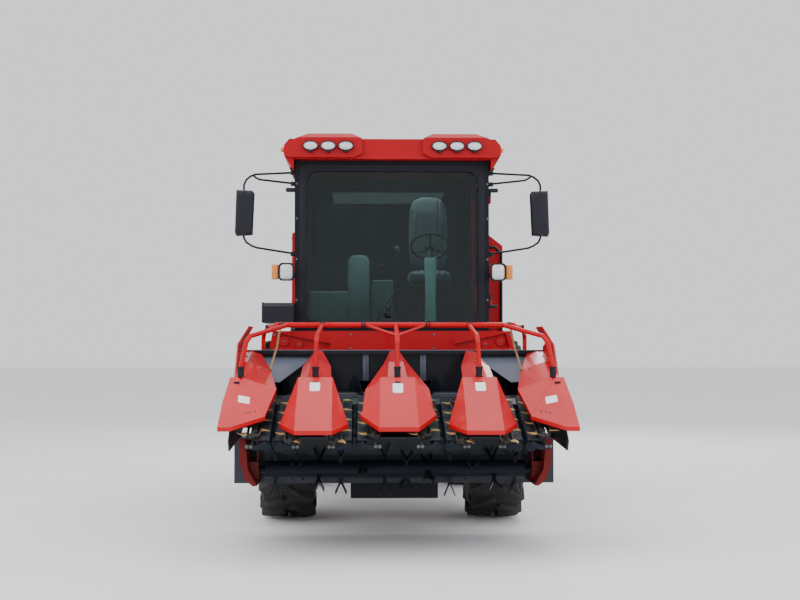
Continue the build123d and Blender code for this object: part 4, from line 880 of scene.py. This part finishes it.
# Header trims
class HARVESTER_OT_header_trims(bpy.types.Operator):
    """Bare badge plates, bolts, straps and brackets on the header"""
    bl_idname = "harvester.header_trims"
    bl_label = "Header trims"

    def execute(self, context):
        build = bmesh.new()
        for x in (-DIVIDER_X, 0.0, DIVIDER_X):
            plate_on(build, (x, -3.152), 0.076, 0.112, 0.016)
        for side in (-1, 1):
            plate_on(build, (side * 1.115, -3.225), 0.085, 0.075, 0.006)
        piece_of(build, "bare_plates", "header", "plate_white")

        bolt_item = hex_bolt()
        places = [(*sheet_at(x, y), (1, 0, 0)) for x in (-DIVIDER_X, 0.0, DIVIDER_X) for y in (-2.72, -2.45, -2.20)]
        for side in (-1, 1):
            for x, y in ((1.03, -3.29), (1.09, -3.33), (1.065, -3.31), (1.16, -2.95), (1.16, -2.70), (1.16, -2.40),
                         (1.16, -2.18), (0.99, -2.90), (1.02, -2.70)):
                places.append((*sheet_at(side * x, y), (1, 0, 0)))
        repeated("hood_bolts", places, bolt_item, "header", "steel", 0.6)

        places = []
        for row_x in ROWS_X:
            for side in (-1, 1):
                # two bright bolts near the tip of each horn
                for dx in (0.150, 0.178):
                    at, normal = surface_at("deck_plates", (row_x + side * dx, -5, 0.7955), (0, 1, 0))
                    places.append((at, normal, (0, 0, 1)))
                # row plates
                for y, z in ((-3.38, 0.815), (-3.20, 0.87), (-2.95, 0.945)):
                    places.append((Vector((row_x + side * 0.142, y, z)), Vector((side, 0, 0)), (0, 0, 1)))
        repeated("row_bolts", places, bolt_item, "header", "steel", 1.0)

        # straps from the cross tube down to the covers, with their clips
        build = bmesh.new()
        for side in (-1, 1):
            foot, normal = sheet_at(side * 0.962, -2.67)
            head = Vector((side * 0.885, -2.503, 1.690))
            middle = (foot + head) / 2 + Vector((side * -0.012, -0.02, 0))
            points = [foot + normal * 0.003, foot.lerp(middle, 0.5) + Vector((0, -0.006, 0)), middle,
                      middle.lerp(head, 0.5) + Vector((0, -0.006, 0)), head]
            section = ((-0.008, -0.0015), (0.008, -0.0015), (0.008, 0.0015), (-0.008, 0.0015))
            loft(build, [[point + Vector((dx, dy, 0)) for dx, dy in section] for point in points])
            bolt(build, foot + normal * 0.004, normal, 0.009)
        piece_of(build, "frame_straps", "header", "strap")

        build = bmesh.new()
        for side in (-1, 1):
            # saddle clamps on the cross tube
            for x in (0.885, 0.57, 0.25):
                for ring_x in (x - 0.014, x + 0.006):
                    turned(build, (side * ring_x, -2.5, 1.668), (side, 0, 0),
                           ((0, 0.022), (0.0005, 0.0255), (0.0095, 0.0255), (0.010, 0.022)), 24)
            rounded_block(build, (side * 1.0 - 0.022, -2.33, 1.628), (side * 1.0 + 0.022, -2.27, 1.672), 0.006)
        # collars around the stems above their sleeves
        for x in (-1.155, -DIVIDER_X, 0.0, DIVIDER_X, 1.155):
            turned(build, (x, -3.015, 1.338), (0, 0, 1),
                   ((0, 0.020), (0.001, 0.0275), (0.014, 0.0275), (0.015, 0.020)), 24)
        piece_of(build, "frame_clamps", "header", "black_rubber")

        # the back wall's folded top edge and its struts
        build = bmesh.new()
        rounded_block(build, (-1.19, -2.134, 1.466), (1.19, -2.129, 1.4745), 0.002, 2)
        for x in (-0.23, 0.23):
            rounded_block(build, (x - 0.024, -2.108, 1.226), (x + 0.024, -2.101, 1.440), 0.002, 2)
            rounded_block(build, (x - 0.004, -2.114, 1.226), (x + 0.004, -2.104, 1.440), 0.002, 2)
        piece_of(build, "wall_edging", "header", "deflector_grey")
        return {"FINISHED"}


# Cab
GLASS_X, GLASS_LOW, GLASS_HIGH = 0.746, 1.71, 3.015


class HARVESTER_OT_cab_trims(bpy.types.Operator):
    """Window surrounds, wiper, clamps and the cab's front panel details"""
    bl_idname = "harvester.cab_trims"
    bl_label = "Cab trims"

    def surround(self, build, centre, across, out, size, cover, radius):
        """A rounded frame that covers the square corners of a window opening, with a rubber lip inside it."""
        centre, out, (width, height) = Vector(centre), Vector(out), size

        def ring(grow, lift, corner):
            return rounded_outline(centre + out * lift, across, UPWARD, width + 2 * grow, height + 2 * grow, corner, 8)
        loft(build, [ring(cover, 0.0, 0.03), ring(cover - 0.003, 0.0035, 0.03), ring(0.010, 0.0035, radius),
                     ring(0.008, 0.0070, radius), ring(-0.004, 0.0065, radius), ring(-0.008, 0.0, radius),
                     ring(-0.008, -0.012, radius), ring(0.010, -0.012, radius)], closed=True)

    def execute(self, context):
        build = bmesh.new()
        middle_z, height = (GLASS_LOW + GLASS_HIGH) / 2, GLASS_HIGH - GLASS_LOW
        self.surround(build, (0, -1.3305, middle_z), ACROSS, (0, -1, 0), (2 * GLASS_X, height), 0.055, 0.10)
        self.surround(build, (0, 0.1305, (2.35 + GLASS_HIGH) / 2), ACROSS, (0, 1, 0), (2 * GLASS_X, 0.665), 0.04, 0.08)
        self.surround(build, (-0.8345, -0.595, (2.05 + GLASS_HIGH) / 2), ALONG, (-1, 0, 0), (1.31, 0.965), 0.03, 0.08)
        piece_of(build, "window_surrounds", "chassis", "black_rubber", smooth=30)
        build = bmesh.new()
        self.surround(build, (0.8325, -0.595, (2.05 + 2.947) / 2), ALONG, (1, 0, 0), (1.174, 0.897), 0.028, 0.08)
        # latch plate
        rounded_block(build, (0.831, -0.06, 1.985), (0.842, 0.012, 2.065), 0.004)
        piece_of(build, "door_surround", "door", "black_rubber", smooth=30)

        # wiper: spindle, sprung arm, blade carrier and blade
        build = bmesh.new()
        turned(build, (-0.036, -1.300, 1.772), (0, -1, 0),
               ((0, 0.028), (0.030, 0.028), (0.036, 0.022), (0.052, 0.012), (0.060, 0.010)), 20)
        arm = ((-0.036, -1.352, 1.772), (-0.020, -1.356, 1.810), (0.000, -1.352, 1.900), (0.010, -1.346, 1.955))
        tube_along(build, arm, 0.006, 8)
        rounded_block(build, (-0.046, -1.362, 1.755), (-0.026, -1.346, 1.800), 0.004)
        blade = ((-0.150, -1.342, 1.700), (-0.060, -1.3475, 1.850), (0.010, -1.3475, 1.957), (0.075, -1.342, 2.050))
        tube_along(build, blade, 0.0045, 8)
        piece_of(build, "wiper", "chassis", "black_plastic")
        build = bmesh.new()
        rounded_block(build, (-0.075, -1.296, 1.745), (0.005, -1.215, 1.800), 0.012)
        rounded_block(build, (-0.060, -1.240, 1.800), (-0.010, -1.200, 1.850), 0.010)
        piece_of(build, "wiper_motor", "chassis", "black_plastic")

        # clamps where the mirror arms meet the corner posts, and brackets beside the posts
        build = bmesh.new()
        for side in (-1, 1):
            for z in (2.2965, 2.9015, 2.9965):
                rounded_block(build, (side * 0.860 - 0.014, -1.312, z - 0.018),
                              (side * 0.860 + 0.014, -1.280, z + 0.020), 0.005)
            side_block(build, side, (0.836, -1.325, 2.830), (0.915, -1.296, 2.866), 0.007)
        rounded_block(build, (0.836, -1.338, 1.830), (0.905, -1.300, 1.860), 0.008)
        piece_of(build, "post_clamps", "chassis", "black_plastic")

        spots = [(1.0, -1.480, 1.60), (0.35, -1.480, 1.60), (0.35, -1.480, 1.485), (1.0, -1.480, 1.475),
                 (0.789, -1.472, 1.520), (0.918, -1.472, 1.546)]
        spots += [(0.820, -1.330, z) for z in (1.90, 2.25, 2.60, 2.90)]
        places = [(Vector((side * x, y, z)), (0, -1, 0), ACROSS) for side in (-1, 1) for x, y, z in spots]
        repeated("cab_bolts", places, hex_bolt(), "chassis", "steel", 0.8)

        # drip rails along the roof's sides
        build = bmesh.new()
        for side in (-1, 1):
            tube_along(build, ((side * 0.868, -1.42, 3.026), (side * 0.868, 0.19, 3.026)), 0.009, 8)
        piece_of(build, "drip_rail", "chassis", "black_rubber")
        return {"FINISHED"}


class HARVESTER_OT_lamps(bpy.types.Operator):
    """Roof lamps, headlamps and amber markers with bezels and lenses"""
    bl_idname = "harvester.lamps"
    bl_label = "Lamps"

    def oval(self, centre, half_w, half_h, steps=40):
        """Points of an upright oval that faces along Y."""
        turns = [2 * pi * k / steps for k in range(steps)]
        return [centre + Vector((half_w * cos(turn), 0, half_h * sin(turn))) for turn in turns]

    def execute(self, context):
        bezels, lenses, amber = bmesh.new(), bmesh.new(), bmesh.new()
        for side in (-1, 1):
            for x in (0.398, 0.548, 0.698):
                def ring(y, half_w, half_h):
                    return self.oval(Vector((side * x, y, 3.206)), half_w, half_h)

                loft(bezels, [ring(-1.478, 0.068, 0.043), ring(-1.500, 0.068, 0.043),
                              ring(-1.515, 0.066, 0.041), ring(-1.516, 0.062, 0.037),
                              ring(-1.505, 0.060, 0.035), ring(-1.478, 0.060, 0.035)], closed=True)
                loft(lenses, [ring(-1.479, 0.061, 0.036), ring(-1.503, 0.061, 0.036), ring(-1.510, 0.050, 0.028),
                              ring(-1.513, 0.024, 0.013), ring(-1.5135, 0.006, 0.003)])
                rounded_block(bezels, (side * x - 0.016, -1.511, 3.150), (side * x + 0.016, -1.479, 3.167), 0.003, 2)
            side_block(amber, side, (0.924, -1.401, 3.164), (0.956, -1.349, 3.206), 0.008)
            # headlamp: shell, lens and the amber block beside it
            bowl = ((-1.352, 0.116, 0.128), (-1.400, 0.130, 0.152), (-1.438, 0.130, 0.152), (-1.441, 0.124, 0.146),
                    (-1.434, 0.108, 0.130), (-1.352, 0.100, 0.112))
            loft(bezels, [rounded_outline((side * 0.904, y, 2.137), ACROSS, UPWARD, w, h, 0.03)
                          for y, w, h in bowl], closed=True)
            cover = ((-1.350, 0.102, 0.114, 0.03), (-1.428, 0.109, 0.131, 0.03), (-1.4385, 0.090, 0.110, 0.03),
                     (-1.4415, 0.040, 0.050, 0.018))
            loft(lenses, [rounded_outline((side * 0.904, y, 2.137), ACROSS, UPWARD, w, h, r)
                          for y, w, h, r in cover])
            side_block(amber, side, (0.971, -1.425, 2.073), (1.030, -1.385, 2.201), 0.010)
            side_block(bezels, side, (0.971, -1.384, 2.076), (1.030, -1.346, 2.198), 0.008, 2)
            side_block(bezels, side, (0.834, -1.400, 2.090), (0.852, -1.292, 2.130), 0.003, 2)
        shell = piece_of(bezels, "lamp_bezels", "chassis", "black_plastic")
        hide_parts("roof_lamps", "headlamps")
        piece_of(lenses, "lamp_lenses", "chassis", "lamp_white")
        piece_of(amber, "amber_lamps", "chassis", "amber")
        return {"FINISHED"}


class HARVESTER_OT_mirrors(bpy.types.Operator):
    """Rounded mirror shells with their glass and clamps"""
    bl_idname = "harvester.mirrors"
    bl_label = "Mirrors"

    def execute(self, context):
        outline = ((1.188, 2.445), (1.326, 2.437), (1.340, 2.466), (1.328, 2.834), (1.190, 2.828), (1.172, 2.800))
        shell, glass = bmesh.new(), bmesh.new()
        for side in (-1, 1):
            points = [Vector((side * x, 0, z)) for x, z in outline]
            middle = sum(points, Vector()) / len(points)

            def ring(y, grow):
                eased = []
                for k, point in enumerate(points):
                    before, after = points[k - 1], points[(k + 1) % len(points)]
                    for blend in (0.5, 0.3, 0.12, 0.03):
                        eased.append(point.lerp(before, blend * 0.35))
                    for blend in (0.03, 0.12, 0.3, 0.5):
                        eased.append(point.lerp(after, blend * 0.35))
                return [middle + (point - middle) * grow + Vector((0, y, 0)) for point in eased]
            loft(shell, [ring(-1.490, 0.72), ring(-1.488, 0.86), ring(-1.478, 0.95), ring(-1.460, 0.99),
                         ring(-1.436, 1.0), ring(-1.4315, 0.985), ring(-1.4315, 0.93), ring(-1.4345, 0.92)])
            loft(glass, [ring(-1.4350, 0.925), ring(-1.4325, 0.925), ring(-1.4322, 0.90)])
            for z in (2.462, 2.800):
                rounded_block(shell, (side * 1.262 - 0.024, -1.488, z - 0.018),
                              (side * 1.262 + 0.024, -1.440, z + 0.018), 0.006)
        piece = piece_of(shell, "mirror_shells", "chassis", "black_plastic")
        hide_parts("mirrors")
        piece_of(glass, "mirror_glasses", "chassis", "mirror_glass")
        return {"FINISHED"}


# Driver's place
def padded_form(name, low, high, crown, lean=0.0):
    """A closed cushion form between two corners, crowned, with its sides drawn in between the corners."""
    build = bmesh.new()
    low, high = Vector(low), Vector(high)
    bmesh.ops.create_cube(build, size=2.0)
    bmesh.ops.subdivide_edges(build, edges=build.edges[:], cuts=9, use_grid_fill=True)
    size, middle = (high - low) / 2, (high + low) / 2
    for vert in build.verts:
        u, v, w = vert.co
        # pull the corners round and crown the broad faces
        length = (abs(u) ** 5 + abs(v) ** 5 + abs(w) ** 5) ** 0.2
        u, v, w = u / length, v / length, w / length
        swell = [1 + crown * (1 - v * v) * (1 - w * w), 1 + crown * (1 - u * u) * (1 - w * w),
                 1 + crown * (1 - u * u) * (1 - v * v)]
        vert.co = middle + Vector((u * size.x * swell[0], v * size.y * swell[1], w * size.z * swell[2]))
        vert.co.y += lean * (vert.co.z - low.z)
    return finish_mesh(build, name)


def inflate(piece, pressure, cap):
    """Evens out a cushion's mesh and blows it up with cloth simulation, each point going no further than cap."""
    bpy.context.view_layer.objects.active = piece
    piece.select_set(True)
    remesh = piece.modifiers.new("even", "REMESH")
    remesh.mode, remesh.voxel_size = "VOXEL", 0.008
    bpy.ops.object.modifier_apply(modifier=remesh.name)
    start = [vert.co.copy() for vert in piece.data.vertices]
    cloth = piece.modifiers.new("stuffing", "CLOTH")
    cloth.settings.use_pressure = True
    cloth.settings.uniform_pressure_force = pressure
    cloth.settings.effector_weights.gravity = 0
    cloth.settings.quality = 5
    for step in range(1, 21):
        bpy.context.scene.frame_set(step)
    view = bpy.context.evaluated_depsgraph_get()
    swollen = [vert.co.copy() for vert in piece.evaluated_get(view).data.vertices]
    piece.modifiers.remove(cloth)
    bpy.context.scene.frame_set(1)
    for vert, before, after in zip(piece.data.vertices, start, swollen):
        move = after - before
        if move.length > cap:
            move = move.normalized() * cap
        vert.co = before + move
    piece.select_set(False)
    piece.data.shade_smooth()


def sewn(piece, lines, axis, depth, width):
    """Draws narrow channels into a cushion along lines at given places on an axis."""
    for vert in piece.data.vertices:
        for line in lines:
            off = (vert.co[axis] - line) / width
            if abs(off) < 1:
                vert.co = vert.co - vert.normal * depth * (1 - off * off) ** 2


class HARVESTER_OT_driver_place(bpy.types.Operator):
    """Seat with padded cushions, steering column and wheel, and control levers"""
    bl_idname = "harvester.driver_place"
    bl_label = "Driver's place"

    def cushion(self, name, low, high, *form):
        """One padded part of the seat, blown up and sewn along two lines."""
        piece = link_mesh(name, padded_form(name, low, high, *form), "chassis", "seat_cover", smooth=180)
        inflate(piece, 4.0, 0.010)
        sewn(piece, (0.262, 0.458), 0, 0.007, 0.012)

    def execute(self, context):
        # seat: base, rails and two cushions
        build = bmesh.new()
        rounded_block(build, (0.232, -0.538, 1.652), (0.488, -0.262, 1.95), 0.02, 3)
        for z in (1.955, 1.985, 2.015):
            rounded_block(build, (0.236, -0.534, z), (0.484, -0.266, z + 0.022), 0.010, 3)
        rounded_block(build, (0.185, -0.600, 2.040), (0.535, -0.215, 2.064), 0.008, 2)
        rounded_block(build, (0.255, -0.205, 2.050), (0.465, -0.180, 2.560), 0.008, 2)
        base = piece_of(build, "seat_base", "chassis", "black_plastic")
        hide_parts("seat")
        self.cushion("seat_cushion", (0.162, -0.638, 2.070), (0.558, -0.215, 2.188), 0.05)
        self.cushion("seat_back", (0.185, -0.300, 2.215), (0.535, -0.205, 2.885), 0.08, 0.045)

        # steering column and wheel
        build = bmesh.new()
        sections = ((1.650, -1.125, 0.108, 0.128), (1.700, -1.125, 0.100, 0.118), (1.900, -1.118, 0.092, 0.108),
                    (2.080, -1.110, 0.090, 0.106), (2.180, -1.098, 0.100, 0.104), (2.262, -1.090, 0.106, 0.094),
                    (2.278, -1.088, 0.094, 0.080))
        loft(build, [rounded_outline((0.340, y, z), ACROSS, ALONG, w, d, 0.028) for z, y, w, d in sections])
        column = piece_of(build, "steering_column", "chassis", "console_plastic")
        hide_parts("steering_console")
        build = bmesh.new()
        wheel_at, up = Vector((0.340, -0.985, 2.388)), Vector((0, 105, 135)).normalized()
        turn = up.to_track_quat("Z", "Y")
        radius = context.scene.harvester.wheel_radius
        rings = []
        for k in range(48):
            way = turn @ Vector((cos(2 * pi * k / 48), sin(2 * pi * k / 48), 0))
            rings.append([wheel_at + way * (radius + 0.011 * cos(around)) + up * (0.011 * sin(around))
                          for around in (2 * pi * j / 12 for j in range(12))])
        loft(build, rings, closed=True)
        for angle in (90, 210, 330):
            way = turn @ Vector((cos(radians(angle)), sin(radians(angle)), 0))
            spoke = (wheel_at - up * 0.022 + way * 0.030, wheel_at - up * 0.018 + way * 0.08,
                     wheel_at - up * 0.004 + way * (radius - 0.008))
            tube_along(build, spoke, 0.008, 8)
        turned(build, wheel_at - up * 0.040, up,
               ((0, 0.030), (0.004, 0.040), (0.030, 0.042), (0.038, 0.034), (0.042, 0.012)), 24)
        turned(build, (0.340, -1.085, 2.262), up, ((0, 0.028), (0.03, 0.024), (0.118, 0.020)), 16)
        piece_of(build, "steering_wheel", "chassis", "black_plastic")

        # consoles beside and ahead of the seat
        build = bmesh.new()
        for low, high, r in (((-0.170, -1.000, 1.652), (0.018, -0.560, 2.088), 0.016),
                             ((-0.735, -0.700, 1.652), (-0.385, -0.150, 2.000), 0.016)):
            rounded_block(build, low, high, r)
        loft(build, [rounded_outline((-0.288, y, 1.652 + h / 2), ACROSS, UPWARD, 0.200, h, 0.070)
                     for y, h in ((-0.52, 0.66), (-0.50, 0.688), (-0.36, 0.688), (-0.33, 0.66))])
        rounded_block(build, (-0.150, -1.008, 1.80), (0.000, -0.996, 1.98), 0.004, 2)
        piece_of(build, "side_consoles", "chassis", "console_grey")
        build = bmesh.new()
        # the tall drive lever and two short ones on the console
        turned(build, (0.056, -0.72, 1.652), (0, 0, 1), ((0, 0.034), (0.03, 0.030), (0.09, 0.014)), 16)
        tube_along(build, ((0.056, -0.72, 1.70), (0.055, -0.74, 2.05), (0.053, -0.76, 2.340)), 0.008, 8)
        turned(build, (0.053, -0.76, 2.330), (0, 0, 1),
               ((0, 0.012), (0.012, 0.024), (0.040, 0.028), (0.062, 0.026), (0.074, 0.012)), 16)
        for y, lean in ((-0.90, -0.03), (-0.80, 0.02)):
            tube_along(build, ((-0.075, y, 2.08), (-0.076, y + lean * 0.4, 2.15), (-0.078, y + lean, 2.21)), 0.006, 8)
            turned(build, (-0.078, y + lean, 2.20), (0, lean, 1),
                   ((0, 0.008), (0.008, 0.014), (0.022, 0.015), (0.030, 0.008)), 14)
        piece_of(build, "levers", "chassis", "black_plastic")
        build = bmesh.new()
        for dx, dz in ((-0.012, 2.376), (0.012, 2.384), (0.010, 2.362)):
            turned(build, (0.053 + dx, -0.786, dz), (0, -1, 0), ((0, 0.004), (0.003, 0.004), (0.005, 0.002)), 10)
        piece_of(build, "lever_buttons", "chassis", "bright")
        # pedals at the foot of the column
        build = bmesh.new()
        for x in (0.215, 0.455):
            tube_along(build, ((x, -1.20, 1.652), (x, -1.16, 1.72), (x, -1.10, 1.76)), 0.007, 8)
            rounded_block(build, (x - 0.035, -1.125, 1.742), (x + 0.035, -1.075, 1.775), 0.006)
        piece_of(build, "pedals", "chassis", "black_rubber")
        return {"FINISHED"}


# Body
class HARVESTER_OT_body_trims(bpy.types.Operator):
    """Ladder treads, tank bolts, fuel cap, fender edging, straps and casing bands"""
    bl_idname = "harvester.body_trims"
    bl_label = "Body trims"

    def band(self, build, outline, inner, width):
        """A flat band around something, between two outlines, as wide as a vector."""
        loft(build, [outline, [point + width for point in outline], [point + width for point in inner], inner],
             closed=True)

    def execute(self, context):
        places = [(Vector((-1.022, 2.12 + 0.34 * k, z)), (-1, 0, 0), UPWARD)
                  for k in range(5) for z in (1.68, 2.0, 2.35, 2.69)]
        for y, facing in ((2.03, -1), (3.57, 1)):
            places += [(Vector((-0.94 + 0.34 * k, y, z)), (0, facing, 0), UPWARD)
                       for k in range(4) for z in (1.68, 2.05, 2.42)]
        repeated("tank_bolts", places, hex_bolt(), "ear_tank", "steel", 0.8)

        # studs pressed up through the ladder's steps
        stud = bmesh.new()
        turned(stud, (0, 0, -0.001), (0, 0, 1), ((0, 0.008), (0.003, 0.007), (0.0045, 0.004)), 8)
        stud_item = item_object("tread_stud", stud)
        places = [(Vector((1.078 + 0.025 * i, 0.040 + 0.029 * j, z)), (0, 0, 1), (1, 0, 0))
                  for z in (0.670, 0.910, 1.150, 1.390) for i in range(4) for j in range(14)]
        places += [(Vector((0.86 + 0.030 * i, -0.040 + 0.035 * j, 1.640)), (0, 0, 1), (1, 0, 0))
                   for i in range(9) for j in range(15)]
        repeated("tread_studs", places, stud_item, "chassis", "steel", 1.0)

        build = bmesh.new()
        # fuel filler neck and cap, drain plug
        turned(build, (-0.90, 0.42, 1.625), (0, 0, 1),
               ((0, 0.045), (0.022, 0.043), (0.024, 0.058), (0.048, 0.058), (0.054, 0.050), (0.056, 0.01)), 28)
        rounded_block(build, (-0.956, 0.412, 1.668), (-0.844, 0.428, 1.690), 0.004)
        turned(build, (-0.70, 0.8, 1.124), (0, 0, -1), ((0, 0.018), (0.012, 0.018), (0.014, 0.012)), 6)
        # fender edging
        edge = ((-1.556, 1.704), (-1.556, 1.838), (-1.528, 1.868), (-0.302, 1.868), (-0.274, 1.838), (-0.274, 1.704))
        tube_along(build, [(-1.095, y, z) for y, z in edge], 0.008, 8)
        # feet and caps of the handrail
        for x in (1.115, 0.870):
            turned(build, (x, 0.465, 1.632), (0, 0, 1),
                   ((0, 0.036), (0.006, 0.036), (0.010, 0.024), (0.030, 0.022)), 16)
        piece_of(build, "body_fittings", "chassis", "black_plastic")

        build = bmesh.new()
        # straps around the fuel tank and seams of the elevator casing
        for y in (0.50, 1.10):
            outline, inner = (rounded_outline((-0.77, y, 1.38), ACROSS, UPWARD, width, height, radius, 8)
                              for width, height, radius in ((0.548, 0.528, 0.066), (0.538, 0.518, 0.060)))
            self.band(build, outline, inner, Vector((0, 0.04, 0)))
        foot, head = Vector((0, 0.330, 1.260)), Vector((0, 1.640, 2.830))
        way = (head - foot).normalized()
        out = Vector((0, -way.z, way.y))
        for t in (0.30, 0.55, 0.80):
            centre = foot.lerp(head, t)
            outline, inner = ([centre + Vector((u * wide, 0, 0)) + out * (v * deep)
                               for u, v in ((-1, -1), (1, -1), (1, 1), (-1, 1))]
                              for wide, deep in ((0.338, 0.198), (0.329, 0.189)))
            self.band(build, outline, inner, way * 0.03)
        piece_of(build, "body_bands", "chassis", "steel")
        return {"FINISHED"}


class HARVESTER_OT_stage(bpy.types.Operator):
    """Pale floor, soft studio light and the camera"""
    bl_idname = "harvester.stage"
    bl_label = "Stage"

    def execute(self, context):
        scene = context.scene
        floor_mesh = bpy.data.meshes.new("floor")
        reach = 90
        floor_mesh.from_pydata([(-reach, -reach, 0), (reach, -reach, 0), (reach, reach, 0), (-reach, reach, 0)], [],
                               [(0, 1, 2, 3)])
        floor = bpy.data.objects.new("floor", floor_mesh)
        scene.collection.objects.link(floor)
        g = Graph("floor")
        shader = g.add("ShaderNodeBsdfPrincipled", {"Roughness": 0.85})
        g.join(g.mix(g.ramp(g.noise(0.6, 6.0), 0.3, 0.7), (0.80, 0.80, 0.80), (0.84, 0.84, 0.84)),
               shader.inputs["Base Color"])
        floor_mesh.materials.append(g.surface(shader))

        world = bpy.data.worlds.new("studio")
        scene.world = world
        world.use_nodes = True
        back = world.node_tree.nodes["Background"]
        back.inputs["Color"].default_value = (0.95, 0.97, 1.0, 1)
        back.inputs["Strength"].default_value = 1.15
        strength = scene.harvester.light_strength
        for name, place, power, size, tone in (("key", (-6.0, -8.0, 9.5), 560, 8.0, (1.0, 0.98, 0.95)),
                                               ("fill", (8.0, -9.0, 6.0), 350, 7.0, (0.92, 0.96, 1.0)),
                                               ("top", (0.0, 0.0, 12.0), 520, 9.0, (1.0, 1.0, 1.0)),
                                               ("back", (3.0, 10.0, 8.0), 500, 6.0, (1.0, 1.0, 1.0))):
            light = bpy.data.lights.new(name, "AREA")
            light.energy, light.size, light.color = power * strength, size, tone
            lamp = bpy.data.objects.new(name, light)
            lamp.location = place
            lamp.rotation_euler = (Vector((0, 0, 1.3)) - Vector(place)).to_track_quat("-Z", "Y").to_euler()
            scene.collection.objects.link(lamp)

        # soft light under the cab's ceiling
        light = bpy.data.lights.new("ceiling", "AREA")
        light.energy, light.size = 15 * strength, 1.1
        lamp = bpy.data.objects.new("ceiling", light)
        lamp.location = (0, -0.65, 3.0)
        scene.collection.objects.link(lamp)

        optics = bpy.data.cameras.new("camera")
        optics.lens, optics.sensor_width = 64.35, 36.0
        optics.clip_end = 300
        camera = bpy.data.objects.new("camera", optics)
        camera.location = (-0.28, -13.6, 1.5)
        camera.rotation_euler = Euler((radians(90 + 1.87), 0, radians(-1.62)))
        scene.collection.objects.link(camera)
        scene.camera = camera
        return {"FINISHED"}


STEPS = (HARVESTER_OT_stage, HARVESTER_OT_finishes, HARVESTER_OT_wheels, HARVESTER_OT_chains, HARVESTER_OT_auger,
         HARVESTER_OT_header_trims, HARVESTER_OT_cab_trims, HARVESTER_OT_lamps, HARVESTER_OT_mirrors,
         HARVESTER_OT_driver_place, HARVESTER_OT_body_trims)


class HARVESTER_PT_panel(bpy.types.Panel):
    """The harvester's steps and settings in the sidebar"""
    bl_idname = "HARVESTER_PT_panel"
    bl_label = "Corn harvester"
    bl_space_type = "VIEW_3D"
    bl_region_type = "UI"
    bl_category = "Harvester"

    def draw(self, context):
        for key in HarvesterSettings.__annotations__:
            self.layout.prop(context.scene.harvester, key)
        for step in STEPS:
            self.layout.operator(step.bl_idname)


CLASSES = (HarvesterSettings, *STEPS, HARVESTER_PT_panel)


def register():
    for kind in CLASSES:
        bpy.utils.register_class(kind)
    bpy.types.Scene.harvester = bpy.props.PointerProperty(type=HarvesterSettings)


def unregister():
    del bpy.types.Scene.harvester
    for kind in reversed(CLASSES):
        bpy.utils.unregister_class(kind)


def main():
    """Registers the add-on and runs its steps in order."""
    register()
    for step in STEPS:
        group, name = step.bl_idname.split(".")
        getattr(getattr(bpy.ops, group), name)()


if __name__ == "__main__":
    main()
